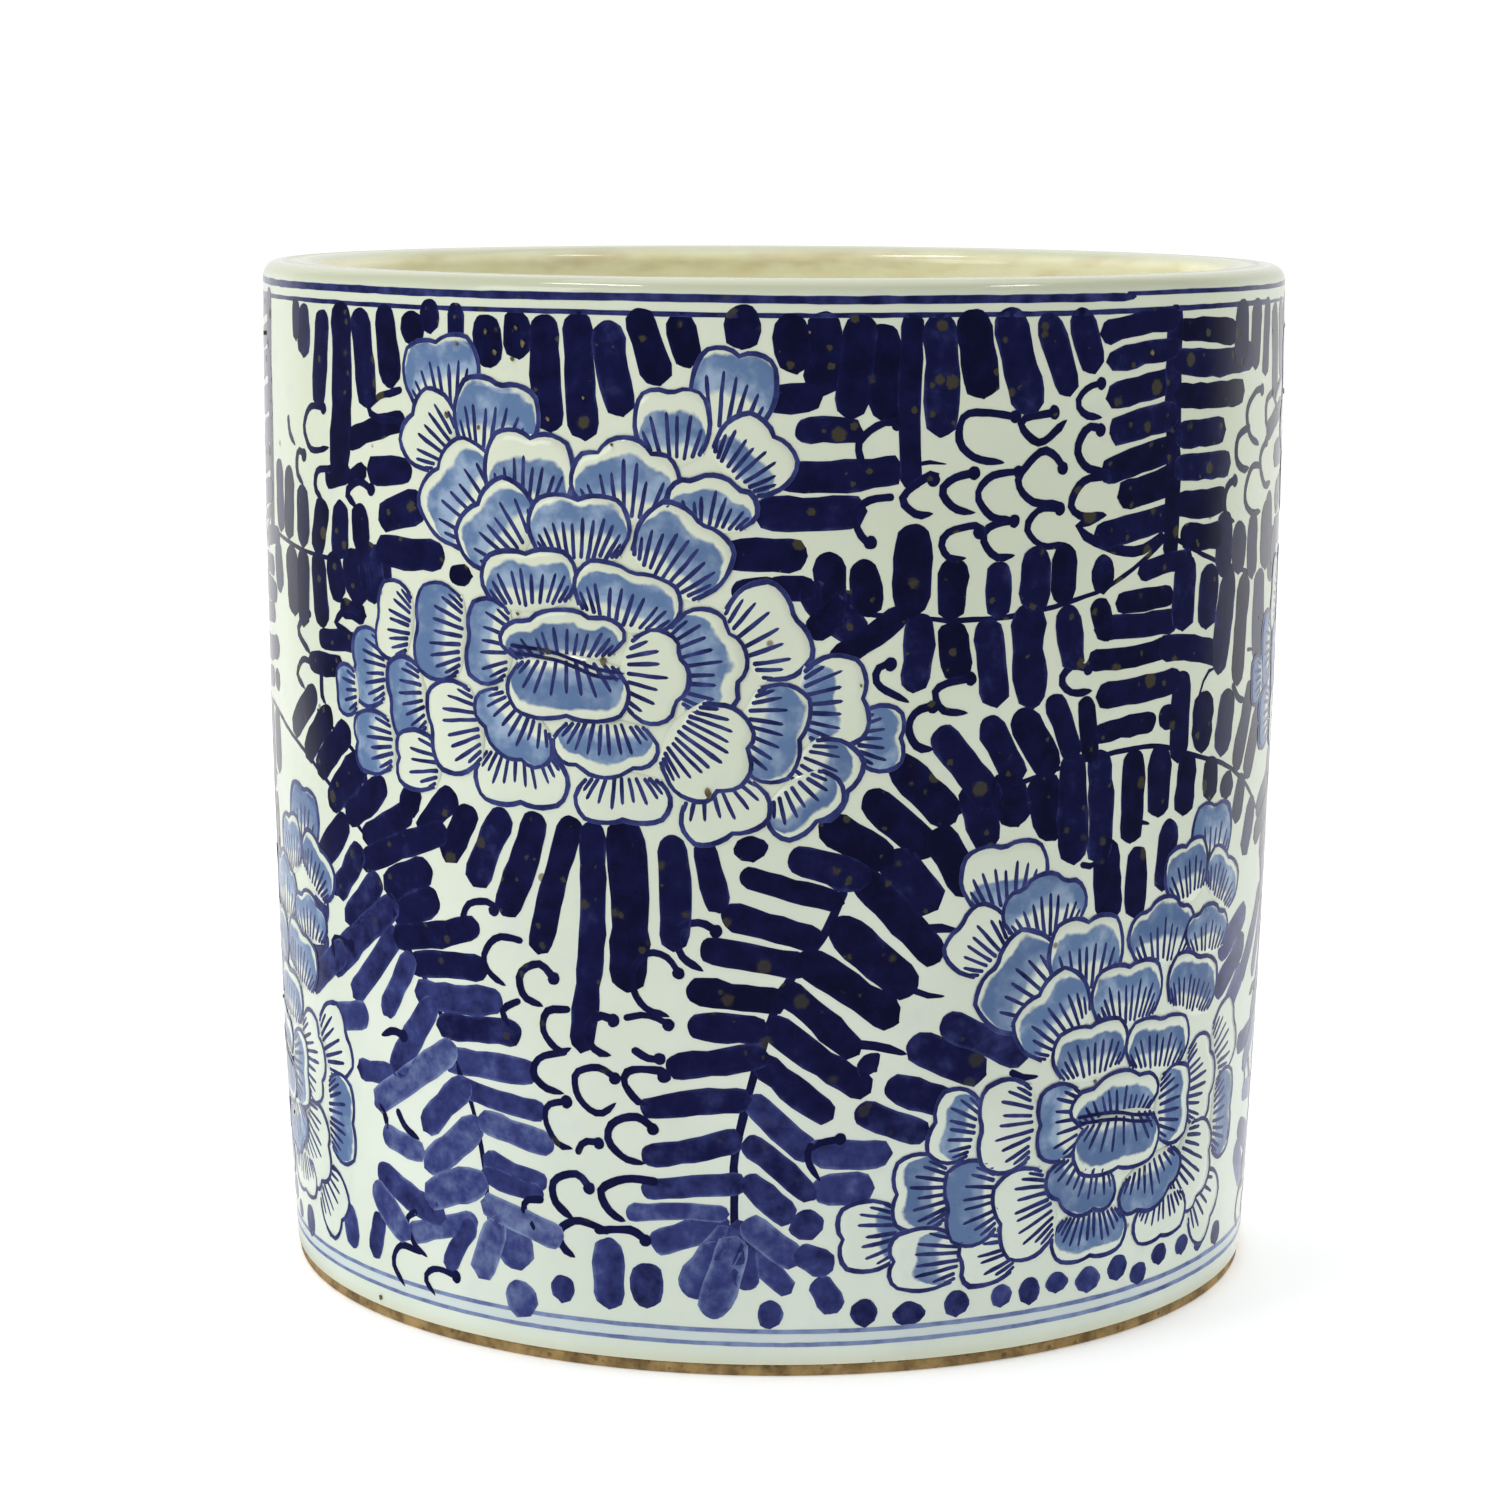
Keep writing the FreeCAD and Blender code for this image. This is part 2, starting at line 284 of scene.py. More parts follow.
def petal_wash():
    """Thin cobalt wash floated on a white petal and glazed: a pale steel blue band with a soft,
    wavering edge, leaving the margin of the petal white."""
    finish, tree, shader, place = new_finish("petal_wash")
    ground, pits = white_ground(tree, place)
    spot, start, stop, load = (
        add(tree, "Attribute", out="Fac", attribute_name=name)
        for name in ("reach", "wash_from", "wash_to", "load")
    )
    waver = add(tree, "TexNoise", {"Vector": place, "Scale": every(7.0), "Detail": 3.0})
    waver = add(tree, "Math MULTIPLY_ADD", (waver, 0.36, -0.18))
    spot = add(tree, "Math ADD", (spot, waver))
    inner = add(tree, "Math SUBTRACT", (spot, start))
    outer = add(tree, "Math SUBTRACT", (stop, spot))
    begun = add(tree, "MapRange SMOOTHSTEP", (inner, -0.24, -0.12, 0.0, 0.95))
    ended = add(tree, "MapRange SMOOTHSTEP", (outer, -0.03, 0.04))
    band = add(tree, "Math MULTIPLY", (begun, ended))
    tone = {"Vector": place, "Scale": every(6.0), "Detail": 3.0, "Roughness": 0.55}
    graded = add(tree, "MapRange SMOOTHSTEP", (inner, -0.15, 0.15, -0.08, 0.12))
    tone = add(tree, "Math ADD", (add(tree, "TexNoise", tone), graded))
    tone = add(tree, "MapRange SMOOTHSTEP", (tone, 0.34, 0.7))
    wash = layered(tree, "#93a9c4", (tone, "#54729e"), (load, "#334f82"))
    tree.links.new(layered(tree, ground, (band, wash)), shader.inputs["Base Color"])
    glaze_surface(tree, shader, place, pits)
    return finish


def iron_spot():
    """Iron specks that boiled up through the glaze and burst: matt olive brown."""
    finish, tree, shader, place = new_finish("iron_spot")
    tone = cloudy(tree, place, 1.2, 0.35, 0.65)
    tree.links.new(layered(tree, "#4f4a30", (tone, "#80724c")), shader.inputs["Base Color"])
    shader.inputs["Roughness"].default_value = 0.45
    return finish


# ---------------------------------------------------------------- geometry trees

WALL_SIZES = (
    ("Rim radius", RIM_RADIUS * MM),
    ("Foot radius", FOOT_RADIUS * MM),
    ("Glaze edge height", GLAZE_EDGE * MM),
    ("Wall height", (SHOULDER_HEIGHT - GLAZE_EDGE) * MM),
    ("Side belly", SIDE_BELLY * MM),
    ("Paint sunk", 0.2 * MM),
    ("Edge wobble", 0.6 * MM),
    ("Wobble size", 3.5 * MM),
)
ON_POINTS = {"data_type": "FLOAT", "domain": "POINT"}


def open_tree(name, sizes, dressed=True):
    """A geometry tree with its sizes as named inputs; returns it and those inputs."""
    group = bpy.data.node_groups.new(name, "GeometryNodeTree")
    sockets = group.interface
    sockets.new_socket("Geometry", in_out="INPUT", socket_type="NodeSocketGeometry")
    for label, value in (*sizes, ("Seed", float(SEED))):
        socket = sockets.new_socket(label, in_out="INPUT", socket_type="NodeSocketFloat")
        socket.default_value = value
    if dressed:
        sockets.new_socket("Finish", in_out="INPUT", socket_type="NodeSocketMaterial")
    sockets.new_socket("Geometry", in_out="OUTPUT", socket_type="NodeSocketGeometry")
    return group, add(group, "NodeGroupInput", out=None).outputs


def finish_tree(group, geometry, given):
    """Ends a tree the same way each time: real geometry with its finish."""
    real = add(group, "RealizeInstances", (geometry,))
    dressed = add(group, "SetMaterial", {0: real, "Material": given["Finish"]})
    add(group, "NodeGroupOutput", (dressed,), None)


def wrap_group():
    """Lays a flat slab (x along the wall, y up, z either side of 0) on the round wall. The top
    stands off the glaze by its lift, the underside is sunk below it, and the edges waver."""
    group, given = open_tree("wrap_on_wall", WALL_SIZES, dressed=False)
    place = add(group, "InputPosition")
    flat = add(group, "SeparateXYZ", (place,), None).outputs
    top = add(group, "Math GREATER_THAN", (flat[2], 0.0))
    kept = add(
        group, "StoreNamedAttribute",
        {"Geometry": given["Geometry"], "Name": "topside", "Value": top}, **ON_POINTS,
    )
    spot = add(group, "CombineXYZ", (flat[0], flat[1], given["Seed"]))
    scale = add(group, "Math DIVIDE", (1.0, given["Wobble size"]))
    cloud = add(group, "TexNoise", {"Vector": spot, "Scale": scale, "Detail": 1.0}, 1)
    push = add(group, "Math MULTIPLY", (given["Edge wobble"], 2.0))
    drift = add(group, "VectorMath SUBTRACT", (cloud, (0.5, 0.5, 0.5)))
    drift = add(group, "VectorMath SCALE", {0: drift, "Scale": push})
    drift = add(group, "SeparateXYZ", (drift,), None).outputs
    along = add(group, "Math ADD", (flat[0], drift[0]))
    up = add(group, "Math ADD", (flat[1], drift[1]))
    share = add(group, "Math SUBTRACT", (up, given["Glaze edge height"]))
    share = add(group, "Math DIVIDE", (share, given["Wall height"]))
    lean = add(group, "Math SUBTRACT", (given["Rim radius"], given["Foot radius"]))
    rest = add(group, "Math SUBTRACT", (1.0, share))
    belly = add(group, "Math MULTIPLY", (share, rest))
    belly = add(group, "Math MULTIPLY", (belly, given["Side belly"]))
    radius = add(group, "Math MULTIPLY_ADD", (lean, share, given["Foot radius"]))
    radius = add(group, "Math MULTIPLY_ADD", (belly, 4.0, radius))
    lift = add(group, "InputNamedAttribute FLOAT", {"Name": "lift"})
    sunk = add(group, "Math MULTIPLY", (given["Paint sunk"], -1.0))
    stand = add(group, "Mix FLOAT", {0: top, 2: sunk, 3: lift})
    radius = add(group, "Math ADD", (radius, stand))
    turn = add(group, "Math DIVIDE", (along, given["Rim radius"]))
    east = add(group, "Math SINE", (turn,))
    east = add(group, "Math MULTIPLY", (radius, east))
    south = add(group, "Math COSINE", (turn,))
    south = add(group, "Math MULTIPLY", (radius, south))
    south = add(group, "Math MULTIPLY", (south, -1.0))
    world = add(group, "CombineXYZ", (east, south, up))
    moved = add(group, "SetPosition", {"Geometry": kept, "Position": world})
    facets = add(group, "SetShadeSmooth", {"Geometry": moved, "Shade Smooth": False})
    faces = add(group, "InputNamedAttribute FLOAT", {"Name": "topside"})
    whole = add(group, "FieldOnDomain", (faces,), domain="FACE", data_type="FLOAT")
    upper = add(group, "Math GREATER_THAN", (whole, 0.99))
    smooth = add(group, "SetShadeSmooth", {"Geometry": facets, "Selection": upper})
    add(group, "NodeGroupOutput", (smooth,), None)
    return group


def wrapped(group, wrap, geometry, given):
    """The wrap group inside another tree, with its sizes passed on."""
    links = {name: given[name] for name, _ in (*WALL_SIZES, ("Seed", SEED))}
    return add(group, "GeometryNodeGroup", {"Geometry": geometry, **links}, node_tree=wrap)


def stroke_tree(wrap):
    """Brush strokes: each edge path becomes a thin ribbon with round or tapered ends."""
    group, given = open_tree(
        "brush_strokes", (*WALL_SIZES, ("End roundness", 0.98), ("Width wander", 0.22))
    )
    path = add(group, "MeshToCurve", (given["Geometry"],))
    place = add(group, "InputPosition")
    gone = add(group, "SplineParameter", out="Length")
    length = add(group, "SplineLength")
    half = add(group, "InputNamedAttribute FLOAT", {"Name": "half_width"})
    tail = add(group, "InputNamedAttribute FLOAT", {"Name": "tail"})
    left = add(group, "Math SUBTRACT", (length, gone))
    near = add(group, "Math MINIMUM", (gone, left))
    bend = add(group, "Math MULTIPLY", (half, given["End roundness"]))
    near = add(group, "Math DIVIDE", (near, bend))
    near = add(group, "Math MINIMUM", (near, 1.0))
    near = add(group, "Math SUBTRACT", (1.0, near))
    near = add(group, "Math MULTIPLY", (near, near))
    tip = add(group, "Math SUBTRACT", (1.02, near))
    tip = add(group, "Math SQRT", (tip,))
    taper = add(group, "MapRange SMOOTHSTEP", (left, 0.0, tail, 0.3))
    wander = add(group, "TexNoise", {"Vector": place, "Scale": 170.0, "Detail": 1.0})
    wander = add(group, "Math SUBTRACT", (wander, 0.5))
    wander = add(group, "Math MULTIPLY", (wander, given["Width wander"]))
    wander = add(group, "Math MULTIPLY_ADD", (wander, 2.0, 1.0))
    width = half
    for factor in (tip, taper, wander):
        width = add(group, "Math MULTIPLY", (width, factor))
    lying = add(group, "SetCurveNormal", (path,), mode="Z_UP")
    lying = add(
        group, "StoreNamedAttribute",
        {"Geometry": lying, "Name": "width", "Value": width}, **ON_POINTS,
    )
    section = add(group, "CurvePrimitiveCircle", {"Resolution": 5, "Radius": 1.0515})
    corner = add(group, "SeparateXYZ", (place,), None).outputs
    low = add(group, "Math MULTIPLY", (corner[0], -1.0))
    spin = add(group, "CombineXYZ", (corner[1], low))
    section = add(group, "SetPosition", {"Geometry": section, "Position": spin})
    section = add(
        group, "StoreNamedAttribute",
        {"Geometry": section, "Name": "across", "Value": corner[0]}, **ON_POINTS,
    )
    scale = add(group, "InputNamedAttribute FLOAT", {"Name": "width"})
    ribbon = add(
        group, "CurveToMesh",
        {"Curve": lying, "Profile Curve": section, "Scale": scale, "Fill Caps": True},
    )
    finish_tree(group, wrapped(group, wrap, ribbon, given), given)
    return group


def slab_tree(wrap):
    """Petal patches: flat slabs laid on the wall."""
    group, given = open_tree("petal_patches", WALL_SIZES)
    finish_tree(group, wrapped(group, wrap, given["Geometry"], given), given)
    return group


def coat_tree():
    """Turned coats: a closed outline (x outwards, y up) swept round the pot's axis."""
    group, given = open_tree("turned_coat", (("Guide radius", 0.1), ("Facets", 384.0)))
    outline = add(group, "MeshToCurve", (given["Geometry"],))
    place = add(group, "InputPosition")
    flat = add(group, "SeparateXYZ", (place,), None).outputs
    outward = add(group, "Math SUBTRACT", (flat[0], given["Guide radius"]))
    upward = add(group, "Math MULTIPLY", (flat[1], -1.0))
    spot = add(group, "CombineXYZ", (outward, upward))
    section = add(group, "SetPosition", {"Geometry": outline, "Position": spot})
    guide = add(
        group, "CurvePrimitiveCircle",
        {"Resolution": given["Facets"], "Radius": given["Guide radius"]},
    )
    guide = add(group, "SetCurveNormal", (guide,), mode="Z_UP")
    coat = add(group, "CurveToMesh", {"Curve": guide, "Profile Curve": section, "Scale": 1.0})
    coat = add(group, "FlipFaces", (coat,))
    closed = add(group, "MergeByDistance", {0: coat, "Distance": 0.001 * MM})
    smooth = add(group, "SetShadeSmooth", {"Geometry": closed})
    finish_tree(group, smooth, given)
    return group


def grow(name, points, edges, faces, values, tree, finish, slot, **sizes):
    """Runs a tree on a plan mesh, keeps the result as a plain mesh and hangs it on the pot."""
    plan = bpy.data.meshes.new(name + "_plan")
    plan.from_pydata([tuple(p) for p in points], edges, faces)
    for label, numbers in values.items():
        layer = plan.attributes.new(label, "FLOAT", "POINT")
        layer.data.foreach_set("value", np.asarray(numbers, dtype=np.float32))
    holder = bpy.data.objects.new(name + "_holder", plan)
    bpy.context.scene.collection.objects.link(holder)
    modifier = holder.modifiers.new("tree", "NODES")
    modifier.node_group = tree
    wanted = {"Finish": finish, **{k.replace("_", " "): v for k, v in sizes.items()}}
    for item in tree.interface.items_tree:
        if item.item_type == "SOCKET" and item.in_out == "INPUT" and item.name in wanted:
            modifier[item.identifier] = wanted[item.name]
    graph = bpy.context.evaluated_depsgraph_get()
    mesh = bpy.data.meshes.new_from_object(holder.evaluated_get(graph))
    bpy.data.objects.remove(holder)
    mesh.name = name
    for spare in ("lift", "tail", "half_width", "topside", "width"):
        if spare in mesh.attributes:
            mesh.attributes.remove(mesh.attributes[spare])
    piece = bpy.data.objects.new(name, mesh)
    bpy.context.scene.collection.objects.link(piece)
    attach(piece, "root")
    return piece


# ---------------------------------------------------------------- turned coats

BEAD = 0.45
CORNER_HEIGHT = 22.5


def arc(cx, cy, radius, start, end, steps):
    """Points on an arc, angles in degrees."""
    turns = [math.radians(start + (end - start) * k / steps) for k in range(steps + 1)]
    return [(cx + radius * math.cos(t), cy + radius * math.sin(t)) for t in turns]


def straight(x0, y0, x1, y1, steps):
    """Points on a straight line, without the first."""
    shares = [k / steps for k in range(1, steps + 1)]
    return [(x0 + (x1 - x0) * s, y0 + (y1 - y0) * s) for s in shares]


def wall_radius(height):
    """Radius of the glazed outside at a height."""
    t = (height - GLAZE_EDGE) / (SHOULDER_HEIGHT - GLAZE_EDGE)
    return FOOT_RADIUS + (RIM_RADIUS - FOOT_RADIUS) * t + SIDE_BELLY * 4 * t * (1 - t)


def turned(name, outline, finish, slot, node, tree):
    """A closed outline, anticlockwise with x outwards, turned round the axis."""
    points = [(x * MM, y * MM, 0.0) for x, y in outline]
    edges = [(k, (k + 1) % len(points)) for k in range(len(points))]
    piece = grow(name, points, edges, [], {}, tree, finish, slot)
    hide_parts(node)


def outer_coat_outline():
    """Glazed outside from the bare edge up over the lip to its crest."""
    low = GLAZE_EDGE + COAT
    heights = [low + (SHOULDER_HEIGHT - low) * k / 60 for k in range(61)]
    outside = [(wall_radius(h), h) for h in heights]
    bead = arc(FOOT_RADIUS - BEAD, GLAZE_EDGE + BEAD, BEAD, -90, 0, 4)[:-1]
    middle = RIM_RADIUS - LIP_OUTER_ROUND
    lip = arc(middle, SHOULDER_HEIGHT, LIP_OUTER_ROUND, 0, 90, 12)[1:]
    crest = [(LIP_CREST, POT_HEIGHT), (LIP_CREST, POT_HEIGHT - COAT)]
    hidden = arc(middle, SHOULDER_HEIGHT, LIP_OUTER_ROUND - COAT, 90, 0, 6)[:-1]
    under = [(x - COAT, y) for x, y in reversed(outside)]
    return bead + outside + lip + crest + hidden + under


def inner_coat_outline():
    """Glazed inside from the crest down the wall, round the corner and in to the centre."""
    middle = INSIDE_RIM + LIP_INNER_ROUND
    level = POT_HEIGHT - LIP_INNER_ROUND
    flat = CORNER_RADIUS - CORNER_ROUND
    turn = FLOOR_TOP + CORNER_ROUND
    seen = [(LIP_CREST, POT_HEIGHT)] + arc(middle, level, LIP_INNER_ROUND, 90, 180, 12)
    seen += straight(INSIDE_RIM, level, CORNER_RADIUS, CORNER_HEIGHT, 40)
    seen += arc(flat, turn, CORNER_ROUND, 0, -90, 8)[1:]
    seen += straight(flat, FLOOR_TOP, 0.0, FLOOR_TOP, 24)
    back = [(0.0, FLOOR_TOP - COAT), (flat, FLOOR_TOP - COAT)]
    back += arc(flat, turn, CORNER_ROUND + COAT, -90, 0, 8)[1:]
    back += straight(CORNER_RADIUS + COAT, CORNER_HEIGHT, INSIDE_RIM + COAT, level, 8)
    back += arc(middle, level, LIP_INNER_ROUND - COAT, 180, 90, 6)[1:]
    return seen + back + [(LIP_CREST, POT_HEIGHT - COAT)]


def foot_outline():
    """The bare standing ring, with small worn corners."""
    inside = arc(FOOT_INSIDE + FOOT_CORNER, FOOT_CORNER, FOOT_CORNER, 180, 270, 4)
    outside = arc(FOOT_OUTSIDE - FOOT_CORNER, FOOT_CORNER, FOOT_CORNER, 270, 360, 4)
    side = [(FOOT_OUTSIDE, GLAZE_EDGE - 0.6), (FOOT_OUTSIDE, UNDERSIDE)]
    return inside + outside + side + [(FOOT_INSIDE, UNDERSIDE)]


def base_coat_outline():
    """Glaze under the floor, inside the foot ring, thicker where it meets the ring."""
    level = UNDERSIDE - COAT
    under = [(FOOT_INSIDE * k / 30, level) for k in range(30)]
    run = [(FOOT_INSIDE - 0.6, level - 0.05), (FOOT_INSIDE, level - 0.4)]
    return under + run + [(FOOT_INSIDE, UNDERSIDE), (0.0, UNDERSIDE)]


# ---------------------------------------------------------------- strokes

FULL_WIDTH_FROM = 2.5
BROAD_END = (0.0, 0.04, 0.16, 0.4, 1.0)
FINE_END = (0.0, 0.35, 1.0)


def smooth_line(spots, spacing, width):
    """Stepped points on a smooth curve through the spots, closer together at both ends."""
    spots = [np.array(s, dtype=float) for s in spots]
    if len(spots) == 2:
        dense = [spots[0] + (spots[1] - spots[0]) * k / 40 for k in range(41)]
    else:
        ends = [2 * spots[0] - spots[1]] + spots + [2 * spots[-1] - spots[-2]]
        dense = []
        for a, b, c, d in zip(ends, ends[1:], ends[2:], ends[3:]):
            for t in (k / 16 for k in range(16)):
                square = (2 * a - 5 * b + 4 * c - d) * t ** 2
                cube = (3 * b - a - 3 * c + d) * t ** 3
                dense.append(0.5 * (2 * b + (c - a) * t + square + cube))
        dense.append(spots[-1])
    dense = np.array(dense)
    steps = np.hypot(*np.diff(dense, axis=0).T)
    walked = np.concatenate([[0.0], np.cumsum(steps)])
    total = walked[-1]
    bend = min(0.54 * width, total * 0.42)
    close = [bend * share for share in (BROAD_END if width > FULL_WIDTH_FROM else FINE_END)]
    middle = total - 2 * bend
    count = max(1, round(middle / spacing))
    marks = close + [bend + middle * k / count for k in range(1, count)]
    marks += [total - m for m in reversed(close)]
    return [
        (np.interp(m, walked, dense[:, 0]), np.interp(m, walked, dense[:, 1])) for m in marks
    ]


class Brushwork:
    """Collects brush paths on the unrolled wall, ready for the stroke tree."""

    def __init__(self, seed):
        self.points, self.edges = [], []
        self.values = {name: [] for name in ("half_width", "lift", "load", "tail")}
        self.luck = random.Random(seed)

    def path(self, spots, width, load, lift, tail=0.0, spacing=2.2, begins=1.0):
        """One stroke through the spots; it begins at that share of its full width."""
        line = smooth_line(spots, spacing, width)
        first = len(self.points)
        last = len(line) - 1
        for k, (across, up) in enumerate(line):
            share = begins + (1 - begins) * k / last
            self.points.append((across * MM, up * MM, 0.0))
            self.values["half_width"].append(share * width * MM / 2)
            self.values["lift"].append(lift * MM)
            self.values["load"].append(load)
            self.values["tail"].append(max(tail, 0.01) * MM)
        self.edges += [(first + k, first + k + 1) for k in range(last)]

    def piece(self, name, tree, finish, slot, **sizes):
        """The collected strokes as one plain mesh piece."""
        return grow(
            name, self.points, self.edges, [], self.values, tree, finish, slot, **sizes
        )


# Broad dabs of cobalt: across and up where the brush lands, across and up where it leaves,
# and the width of the dab.
DABS_BELOW_LINE = (
    (-138.5, 242, -138.5, 234, 4), (-133.5, 241, -134, 230, 6), (-123.5, 240, -126, 219, 6),
    (-115, 242, -117, 202, 7.5), (-107.5, 241, -104.5, 220, 6.5), (-98, 242, -95.5, 225, 6.5),
    (-89, 241, -88, 235, 6), (-83, 244, -83, 238, 5), (-75.5, 243, -75.5, 236, 4),
    (-67.5, 241, -66, 231, 6.5), (-59, 242, -58.5, 233, 6), (-52, 241, -50.5, 217, 6.5),
    (-44, 242, -42.5, 215.5, 6), (-37, 240, -33.5, 221, 6.5), (-30, 243, -25, 228, 6),
    (-21, 242, -18.5, 232, 6), (-7, 244, -7, 236, 7), (3.5, 242, 5, 231, 7.5),
    (11, 242.5, 10.5, 226, 7), (19.5, 242, 17, 221, 6.5), (24, 240, 25, 220, 7),
    (31, 242, 31, 205, 4.5), (37, 242, 37.5, 217, 7), (44.5, 243, 47.5, 225, 7.5),
    (53.5, 243, 60, 221, 7.5), (63, 242, 69.5, 225, 6), (72, 242.5, 76.5, 230, 6.5),
    (133, 243, 133, 229, 6.5), (143, 243, 142, 228, 6), (151, 243, 150, 226, 5),
)
DABS_UPPER_FROND = (
    (102.5, 243, 102.5, 214, 5), (102.5, 216, 102.5, 186, 4.5),
    (103, 240.5, 79, 238, 4.5), (103, 234, 81, 231.5, 4.5), (103, 227, 81, 223.5, 5.5),
    (103, 219, 82, 215.5, 6), (103, 211, 80, 206.5, 5.5), (103, 204, 85, 201, 6),
    (103, 195.5, 78, 192, 5.5), (110, 185, 92, 183, 4), (103, 177, 85, 176.5, 4.5),
    (105, 171, 79, 171, 5), (102, 165, 77, 164, 4.5), (107, 157, 80, 155.5, 5.5),
    (98, 148, 79, 146.5, 4.5), (104, 238, 129, 236.5, 5), (103, 231, 140, 231, 5.5),
    (104, 223, 134, 222.5, 5.5), (104, 214, 124, 214, 5.5), (104, 206.5, 127, 206, 5.5),
    (105, 198, 125, 198, 5.5), (107, 190.5, 124, 189.5, 5.5), (100, 165, 125, 161, 5.5),
    (126, 194, 126, 180, 7), (134, 191, 134, 180, 7.5), (143.5, 192, 143.5, 178, 6.5),
    (155, 194, 155, 179, 9), (109, 185, 108, 169, 8), (119, 182, 118, 168.5, 8),
    (129.5, 180, 125, 157, 7.5), (138.5, 178, 136, 153, 7), (150, 178, 150.5, 157, 8.5),
)
DABS_MIDDLE_ARC = (
    (-2, 224.5, 10, 225, 5.5), (6, 217.5, 19, 217.5, 5), (1, 207.5, 28, 209, 6),
    (-3, 199.5, 20, 200, 6.5), (-10, 190, 7, 190, 6.5), (-8, 182, 1, 183, 4.5),
    (0, 183, 9, 183, 5), (31.5, 196, 31, 177, 7.5), (41.5, 188, 40.5, 176, 6),
    (52, 187, 52, 176, 5.5), (61.5, 190, 61, 177, 6.5), (69.5, 190, 69, 178, 6),
    (80.5, 187, 80.5, 180, 5.5), (33, 176, 32, 160, 6), (40.5, 174, 42.5, 162, 6.5),
    (49.5, 174, 52, 156, 6.5), (60, 177, 61.5, 155, 7.5), (70, 176, 72.5, 163, 6),
    (79, 177, 82, 169, 5), (12.5, 190, 13, 174, 6), (20, 188, 21.5, 177, 6),
    (8, 183, 20, 172, 7), (14, 167, 29, 177, 4.5), (9, 173, 18, 181, 6),
)
DABS_LOWER_ARC = (
    (28, 144, 42, 130, 7), (38, 150, 52, 133, 6.5), (50, 152, 58, 138, 6),
    (58, 153, 67, 139, 6.5), (67, 156, 73, 142, 5), (76, 155, 78, 141, 4.5),
    (101, 149, 106, 148, 5), (108.5, 158, 108, 138, 6.5), (118.5, 152, 118, 139, 8),
    (131, 151, 128, 137, 8), (146, 151, 137, 132, 6), (154, 144, 145, 129, 7),
    (46, 137, 51, 123, 7), (54, 139, 58, 128, 8), (64, 138, 68, 124, 8.5),
    (73, 142, 74, 118, 7.5), (80.5, 142, 81.5, 117, 6.5), (91.5, 141, 91.5, 121, 6.5),
    (101, 141, 101, 126, 7.5), (112, 138, 111, 125, 7), (123, 136, 123, 127, 6.5),
    (132, 131, 132, 126, 6.5), (142, 129, 139, 119, 6), (152, 122, 146, 110, 6.5),
    (84, 121, 86, 103, 7), (94, 118, 94, 103, 6.5), (106, 123, 104, 108, 6.5),
    (133, 87, 150, 95, 6), (132, 78, 150, 88, 6), (140, 73, 150, 80, 6),
)
DABS_CENTRE_FROND = (
    (12, 130, 27, 121, 7), (27, 122, 38, 110, 8), (5, 122, 22, 117, 6.5),
    (20, 118, 39, 98, 6.5), (15, 107, 33, 91, 7.5), (7, 99, 29, 84, 6.5),
    (3, 92, 20, 77, 5.5), (0, 84, 23, 68, 6), (-2, 75, 14, 62, 5.5), (-4, 66, 10, 53, 5.5),
    (-5, 56, 10, 43, 5), (-5, 47, 5, 38, 5.5), (-5, 37, 7, 28, 6), (-4, 30, 5, 21, 5),
    (22, 136, 37, 123, 6.5), (38, 127, 46, 113, 7), (41, 83, 62, 73, 6), (33, 78, 51, 70, 7),
    (28, 69, 43, 64, 6.5), (21, 63, 37, 57, 5.5), (10, 54, 28, 53, 6), (11, 45, 24, 45, 6.5),
    (8, 39, 10, 34, 8), (22, 75, 24, 73, 6), (-6, 118, 16, 112, 4.5), (-10, 109, 11, 103, 5.5),
    (-15, 101, 8, 97, 5.5), (-18, 91.5, 3, 89, 5.5), (-18, 83, -1, 82, 6),
    (-23, 73, -1, 76.5, 5.5), (-29, 63, -5, 66, 5), (-29, 52, -7, 57, 5),
    (-29, 44, -6, 46.5, 4.5), (-33, 38, -10, 39, 3.5), (-27, 31, -10, 37, 6),
    (-19, 20, -8, 35, 8), (-14, 15, -8, 33, 7), (-5, 22, -7, 37, 6),
)
DABS_UNDER_FLOWER = (
    (-73, 129, -80, 117, 6), (-63.5, 129, -72, 112, 6.5), (-55, 129, -64, 106, 6.5),
    (-46, 129, -55, 98, 5.5), (-41, 128, -44.5, 76, 5.5), (-33.5, 129, -33, 91, 8),
    (-22.5, 126, -22, 101, 6), (-15, 125, -11.5, 110, 5), (-4.5, 126, -4, 122, 7),
    (-131, 150, -146, 139, 6), (-123, 146, -137, 134, 6), (-115, 143, -130, 131, 6.5),
    (-108, 137, -124, 124, 7), (-101, 132, -116, 122, 6.5), (-92, 126, -109, 118, 5.5),
    (-90, 132, -93, 126, 6), (-78, 132, -88, 122, 5.5),
)
